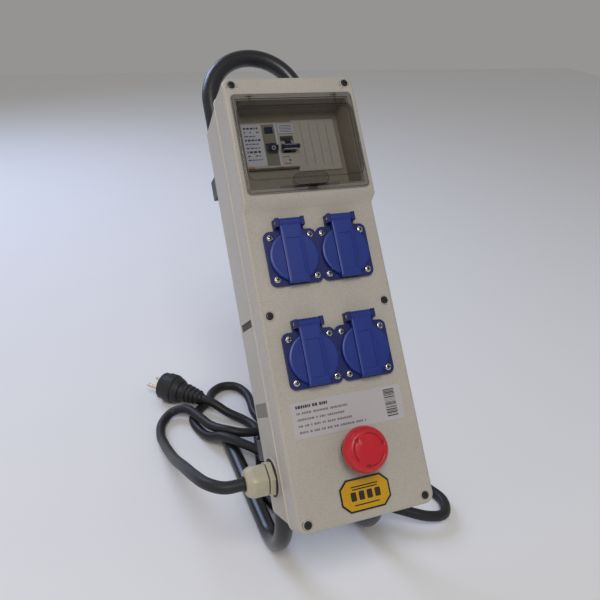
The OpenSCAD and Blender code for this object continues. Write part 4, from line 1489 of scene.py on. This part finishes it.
@dataclass
class Labels:
    """White rating label and yellow plate, with plain printed bars in place of words."""

    label_z: float = 85.5
    label_w: float = 106.0
    label_h: float = 31.0
    plate_z: float = 14.4
    thick: float = 0.25
    seed: int = 11

    def lines(self) -> tuple[list[tuple[float, float, float, float]],
                             list[tuple[float, float, float, float]]]:
        """Bars in place of the label's heading and of its lines of print."""
        draw = random.Random(self.seed)
        heading, rest = [], []
        left = -self.label_w / 2 + 4.5
        rows = ((30, 2.7), (48, 1.9), (43, 1.9), (50, 1.9), (62, 1.9))
        for row, (length, high) in enumerate(rows):
            x = left
            z = self.label_z + 11.2 - 5.4 * row
            while x < left + length:
                w = draw.uniform(1.0, 2.4)
                (heading if row == 0 else rest).append((x + w / 2, z, w, high))
                x += w + (0.45 if draw.random() < 0.8 else 1.8)
        return heading, rest

    def code(self) -> list[tuple[float, float, float, float]]:
        """A stack of plain bars of mixed thickness at the label's right."""
        draw = random.Random(self.seed + 1)
        bars = []
        z = self.label_z + 12.4
        while z > self.label_z - 12.0:
            h = draw.choice((0.35, 0.35, 0.7, 1.0))
            bars.append((41.0, z - h / 2, 11.0, h))
            z -= h + draw.choice((0.35, 0.5, 0.9))
        return bars

    def build(self) -> None:
        """Label, its print, plate, its border and its print."""
        shape = Shape()
        shape.plate(self.label_w, self.label_h, 2.4, -self.thick, 0.0, 0, self.label_z, 0.08)
        fit(shape.settle("label_film", [LABEL]), Body.HOUSING, LABEL, "rating_label")
        heading, rest = self.lines()
        print_and_shade_bars("label_heading", heading, -self.thick, PRINT, ink=0.04)
        print_and_shade_bars("label_lines", rest, -self.thick, PRINT_GREY, ink=0.04)
        print_and_shade_bars("label_code", self.code(), -self.thick, PRINT, ink=0.04)
        face, _ = box_mm("name_plate_border")
        for node, name, finish, cut in (("name_plate_border", "plate_border", BLACK_PLASTIC_AND_NOTCH_SHADE, 7.0),
                                        ("name_plate", "yellow_plate", YELLOW, 6.4)):
            low, high = box_mm(node)
            plate = Shape()
            front = face.y + (0.07 if node == "name_plate_border" else 0.0)
            plate.prism(cut_corners(low.x, high.x, low.z, high.z, cut), front, high.y)
            fit(plate.settle(name, [finish], bevel=0.06), Body.HOUSING, finish, node)
        ink = [(0.0, self.plate_z + 7.0 - k * 2.2, 26.0 - k * 2.0, 1.1) for k in range(2)]
        ink += [(x, self.plate_z - 1.0, 5.2, 7.5) for x in (-11.4, -3.8, 3.8, 11.4)]
        ink += [(0.0, self.plate_z - 8.4, 24.0, 1.1)]
        print_and_shade_bars("plate_print", ink, face.y, PLATE_INK, ink=0.04)


# ---- cord and plug ----


@dataclass
class CordAndPlug:
    """Rubber cord from the gland to the plug, lying in loops on the floor."""

    radius: float = 5.75
    length: float = 2.0
    plug_heading: float = 133.0
    plug_r: float = 19.5
    neck_len: float = 32.0
    plug_len: float = 32.0
    pin_r: float = 2.35
    pin_gap: float = 9.5
    pin_len: float = 19.0
    route: tuple[Point, ...] = (
        (-0.093, -0.1195, 0.1305), (-0.110, -0.118, 0.130), (-0.123, -0.106, 0.128),
        (-0.129, -0.080, 0.117), (-0.131, -0.042, 0.096), (-0.131, 0.005, 0.066),
        (-0.130, 0.052, 0.039), (-0.129, 0.092, 0.019), (-0.128, 0.122, 0.008),
        (-0.122, 0.148, 0.006), (-0.106, 0.163, 0.010), (-0.088, 0.155, 0.017),
        (-0.077, 0.132, 0.019), (-0.067, 0.108, 0.020), (-0.052, 0.088, 0.0245),
        (-0.028, 0.078, 0.022), (0.010, 0.082, 0.020), (0.048, 0.088, 0.025),
        (0.074, 0.092, 0.020), (0.098, 0.097, 0.011), (0.117, 0.112, 0.006),
        (0.122, 0.134, 0.006), (0.111, 0.154, 0.006), (0.091, 0.158, 0.006),
        (0.074, 0.146, 0.006), (0.068, 0.124, 0.006), (0.070, 0.098, 0.006),
        (0.080, 0.070, 0.006), (0.098, 0.044, 0.006), (0.115, 0.012, 0.006),
        (0.132, -0.028, 0.006), (0.148, -0.064, 0.006), (0.154, -0.088, 0.007),
        (0.142, -0.109, 0.010), (0.119, -0.110, 0.015), (0.092, -0.097, 0.021),
        (0.052, -0.068, 0.0245), (0.020, -0.032, 0.020), (-0.005, 0.010, 0.019),
        (-0.025, 0.041, 0.022), (-0.045, 0.061, 0.0252), (-0.060, 0.080, 0.0225),
        (-0.072, 0.097, 0.0125), (-0.078, 0.116, 0.007), (-0.082, 0.136, 0.006),
        (-0.079, 0.152, 0.006), (-0.066, 0.166, 0.006), (-0.053, 0.179, 0.006),
        (-0.043, 0.196, 0.006), (-0.026, 0.206, 0.006), (-0.008, 0.200, 0.006),
        (0.001, 0.180, 0.006), (0.001, 0.157, 0.006), (-0.001, 0.135, 0.006),
        (0.006, 0.100, 0.006), (0.017, 0.060, 0.006), (0.028, 0.015, 0.006),
        (0.034, -0.018, 0.006), (0.025, -0.046, 0.006), (0.000, -0.058, 0.006),
        (-0.024, -0.046, 0.006), (-0.034, -0.018, 0.006), (-0.030, 0.012, 0.006),
        (-0.022, 0.045, 0.006), (-0.013, 0.080, 0.006), (-0.010, 0.103, 0.006),
        (-0.019, 0.124, 0.006), (-0.036, 0.140, 0.010), (-0.050, 0.153, 0.0175),
        (-0.0585, 0.1621, 0.0195), (-0.064, 0.168, 0.0195))

    def cord(self) -> tuple[bpy.types.Object, list[Vector]]:
        """The cord itself.

        Returns:
            Its tube and its centreline in metres.
        """
        path = smooth_path(self.route, 5)
        shape = Shape()
        shape.swept([p / MM for p in path], self.radius, 20)
        obj = shape.settle("rubber_cord", [RUBBER], place=UPRIGHT)
        return fit(obj, Body.HOUSING, RUBBER, "cord"), path

    def plug(self) -> list[bpy.types.Object]:
        """Strain relief, ribbed body and pins, lying on the floor.

        Returns:
            The pieces on the cord.
        """
        start = Vector(self.route[-1]) / MM
        a = math.radians(self.plug_heading)
        ahead = (math.cos(a), math.sin(a), 0.0)
        neck = Shape()
        profile = [(self.radius + 0.05, -1.0), (self.radius + 1.3, 0.0)]
        for k in range(4):
            t = 3.0 + k * 6.2
            r = 8.2 + k * 1.0
            profile += [(r, t), (r + 1.6, t + 0.8), (r + 1.6, t + 3.0), (r + 0.2, t + 3.8)]
        profile += [(12.4, self.neck_len - 3.0), (13.6, self.neck_len)]
        neck.turned(profile, tuple(start), ahead, 48)
        relief = fit(neck.settle("plug_neck", [RUBBER], place=UPRIGHT, bevel=0.3), Body.HOUSING,
                     RUBBER, "plug_strain_relief")
        shell = Shape()
        n, length, r = self.neck_len, self.plug_len, self.plug_r
        ribs = 20
        shell.turned([(13.4, n), (15.0, n + 0.8), (17.2, n + 6.0), (17.6, n + 9.5),
                      (r - 0.6, n + 10.5), (r, n + 11.8), (r, n + 22.0), (r - 0.6, n + 23.2),
                      (r - 1.6, n + 24.0), (r - 1.4, n + length - 2.0), (r - 2.4, n + length - 0.6),
                      (r - 3.6, n + length), (3.0, n + length)],
                     tuple(start), ahead, 120,
                     swell=lambda a, t: 1.0 - (0.022 * max(0.0, math.cos(ribs * a)) ** 2
                                               if n + 11 < t < n + 22.5 else 0.0))
        body = fit(shell.settle("plug_shell", [RUBBER], place=UPRIGHT, angle=28.0), Body.HOUSING,
                   RUBBER, "plug_body")
        pins = Shape()
        side = Vector(ahead).cross(Vector((0, 0, 1))).normalized()
        tip = n + length + self.pin_len
        for s in (-1, 1):
            at = start + side * s * self.pin_gap
            pins.turned([(self.pin_r, n + length - 6.0), (self.pin_r, tip - 2.2),
                         (self.pin_r * 0.9, tip - 1.2), (self.pin_r * 0.62, tip - 0.4),
                         (self.pin_r * 0.2, tip)], tuple(at), ahead, 24)
        prongs = fit(pins.settle("plug_prongs", [PIN_METAL], place=UPRIGHT), Body.HOUSING,
                     PIN_METAL, "plug_pins")
        return [relief, body, prongs]

    def build(self) -> None:
        """Cord and plug."""
        cord, path = self.cord()
        pieces = self.plug()


# ---- stage ----


@dataclass
class Studio:
    """Floor, soft lights and camera."""

    eye: Point = (-0.2240, -0.5495, 0.5489)
    right: Point = (0.9327, -0.3580, 0.0446)
    up: Point = (0.1274, 0.4425, 0.8877)
    back: Point = (-0.3375, -0.8222, 0.4583)
    lens: float = 39.67
    floor: float = 6.0

    def camera(self) -> None:
        """The camera at the viewing angle."""
        data = bpy.data.cameras.new("camera")
        data.lens = self.lens
        data.sensor_width = 36.0
        data.clip_start = 0.01
        camera = bpy.data.objects.new("camera", data)
        turn = Matrix((self.right, self.up, self.back)).transposed().to_quaternion().normalized()
        camera.matrix_world = Matrix.LocRotScale(Vector(self.eye), turn, None)
        bpy.context.scene.collection.objects.link(camera)
        bpy.context.scene.camera = camera

    def light(self, name: str, at: Point, power: float, size: float, color: Point) -> None:
        """A soft square light that looks at the box.

        Args:
            name: its name.
            at: its place.
            power: watts.
            size: its side.
            color: linear colour.
        """
        data = bpy.data.lights.new(name, "AREA")
        data.energy = power
        data.size = size
        data.color = color
        lamp = bpy.data.objects.new(name, data)
        lamp.location = at
        lamp.rotation_mode = "QUATERNION"
        lamp.rotation_quaternion = (Vector((0, 0, 0.2)) - Vector(at)).to_track_quat("-Z", "Y")
        bpy.context.scene.collection.objects.link(lamp)

    def build(self) -> None:
        """Camera, floor, lights and the pale surround."""
        self.camera()
        mesh = bpy.data.meshes.new("floor")
        h = self.floor / 2
        mesh.from_pydata([(-h, -h, 0), (h, -h, 0), (h, h, 0), (-h, h, 0)], [], [(0, 1, 2, 3)])
        ground = link("floor", mesh)
        paper = bpy.data.materials.new("floor_paper")
        paper.use_nodes = True
        shader = paper.node_tree.nodes["Principled BSDF"]
        shader.inputs["Base Color"].default_value = (0.86, 0.86, 0.86, 1.0)
        shader.inputs["Roughness"].default_value = 0.9
        mesh.materials.append(paper)
        self.light("key", (-0.45, -1.3, 2.0), 20.0, 0.8, (1.0, 0.975, 0.94))
        self.light("fill", (-1.6, -0.2, 0.7), 2.0, 0.9, (1.0, 0.75, 0.5))
        self.light("rear", (-0.7, 1.4, 1.2), 14.0, 0.9, (0.55, 0.66, 1.0))
        world = bpy.data.worlds.new("surround")
        world.use_nodes = True
        sky = world.node_tree.nodes["Background"]
        sky.inputs["Color"].default_value = (1.0, 0.985, 0.97, 1.0)
        sky.inputs["Strength"].default_value = 0.3
        bpy.context.scene.world = world
        bpy.context.scene.view_settings.view_transform = "Standard"


def main() -> None:
    """Builds every sub-assembly in order and logs each one."""
    logging.basicConfig(level=logging.INFO, format="%(name)s: %(message)s")
    for assembly in (Studio(), CordAndPlug(), TubeFrame(), Enclosure(), Window(), Devices(),
                     Outlets(), StopButton(), Gland(), Labels()):
        LOG.info("building %s", type(assembly).__name__)
        assembly.build()


if __name__ == "__main__":
    main()
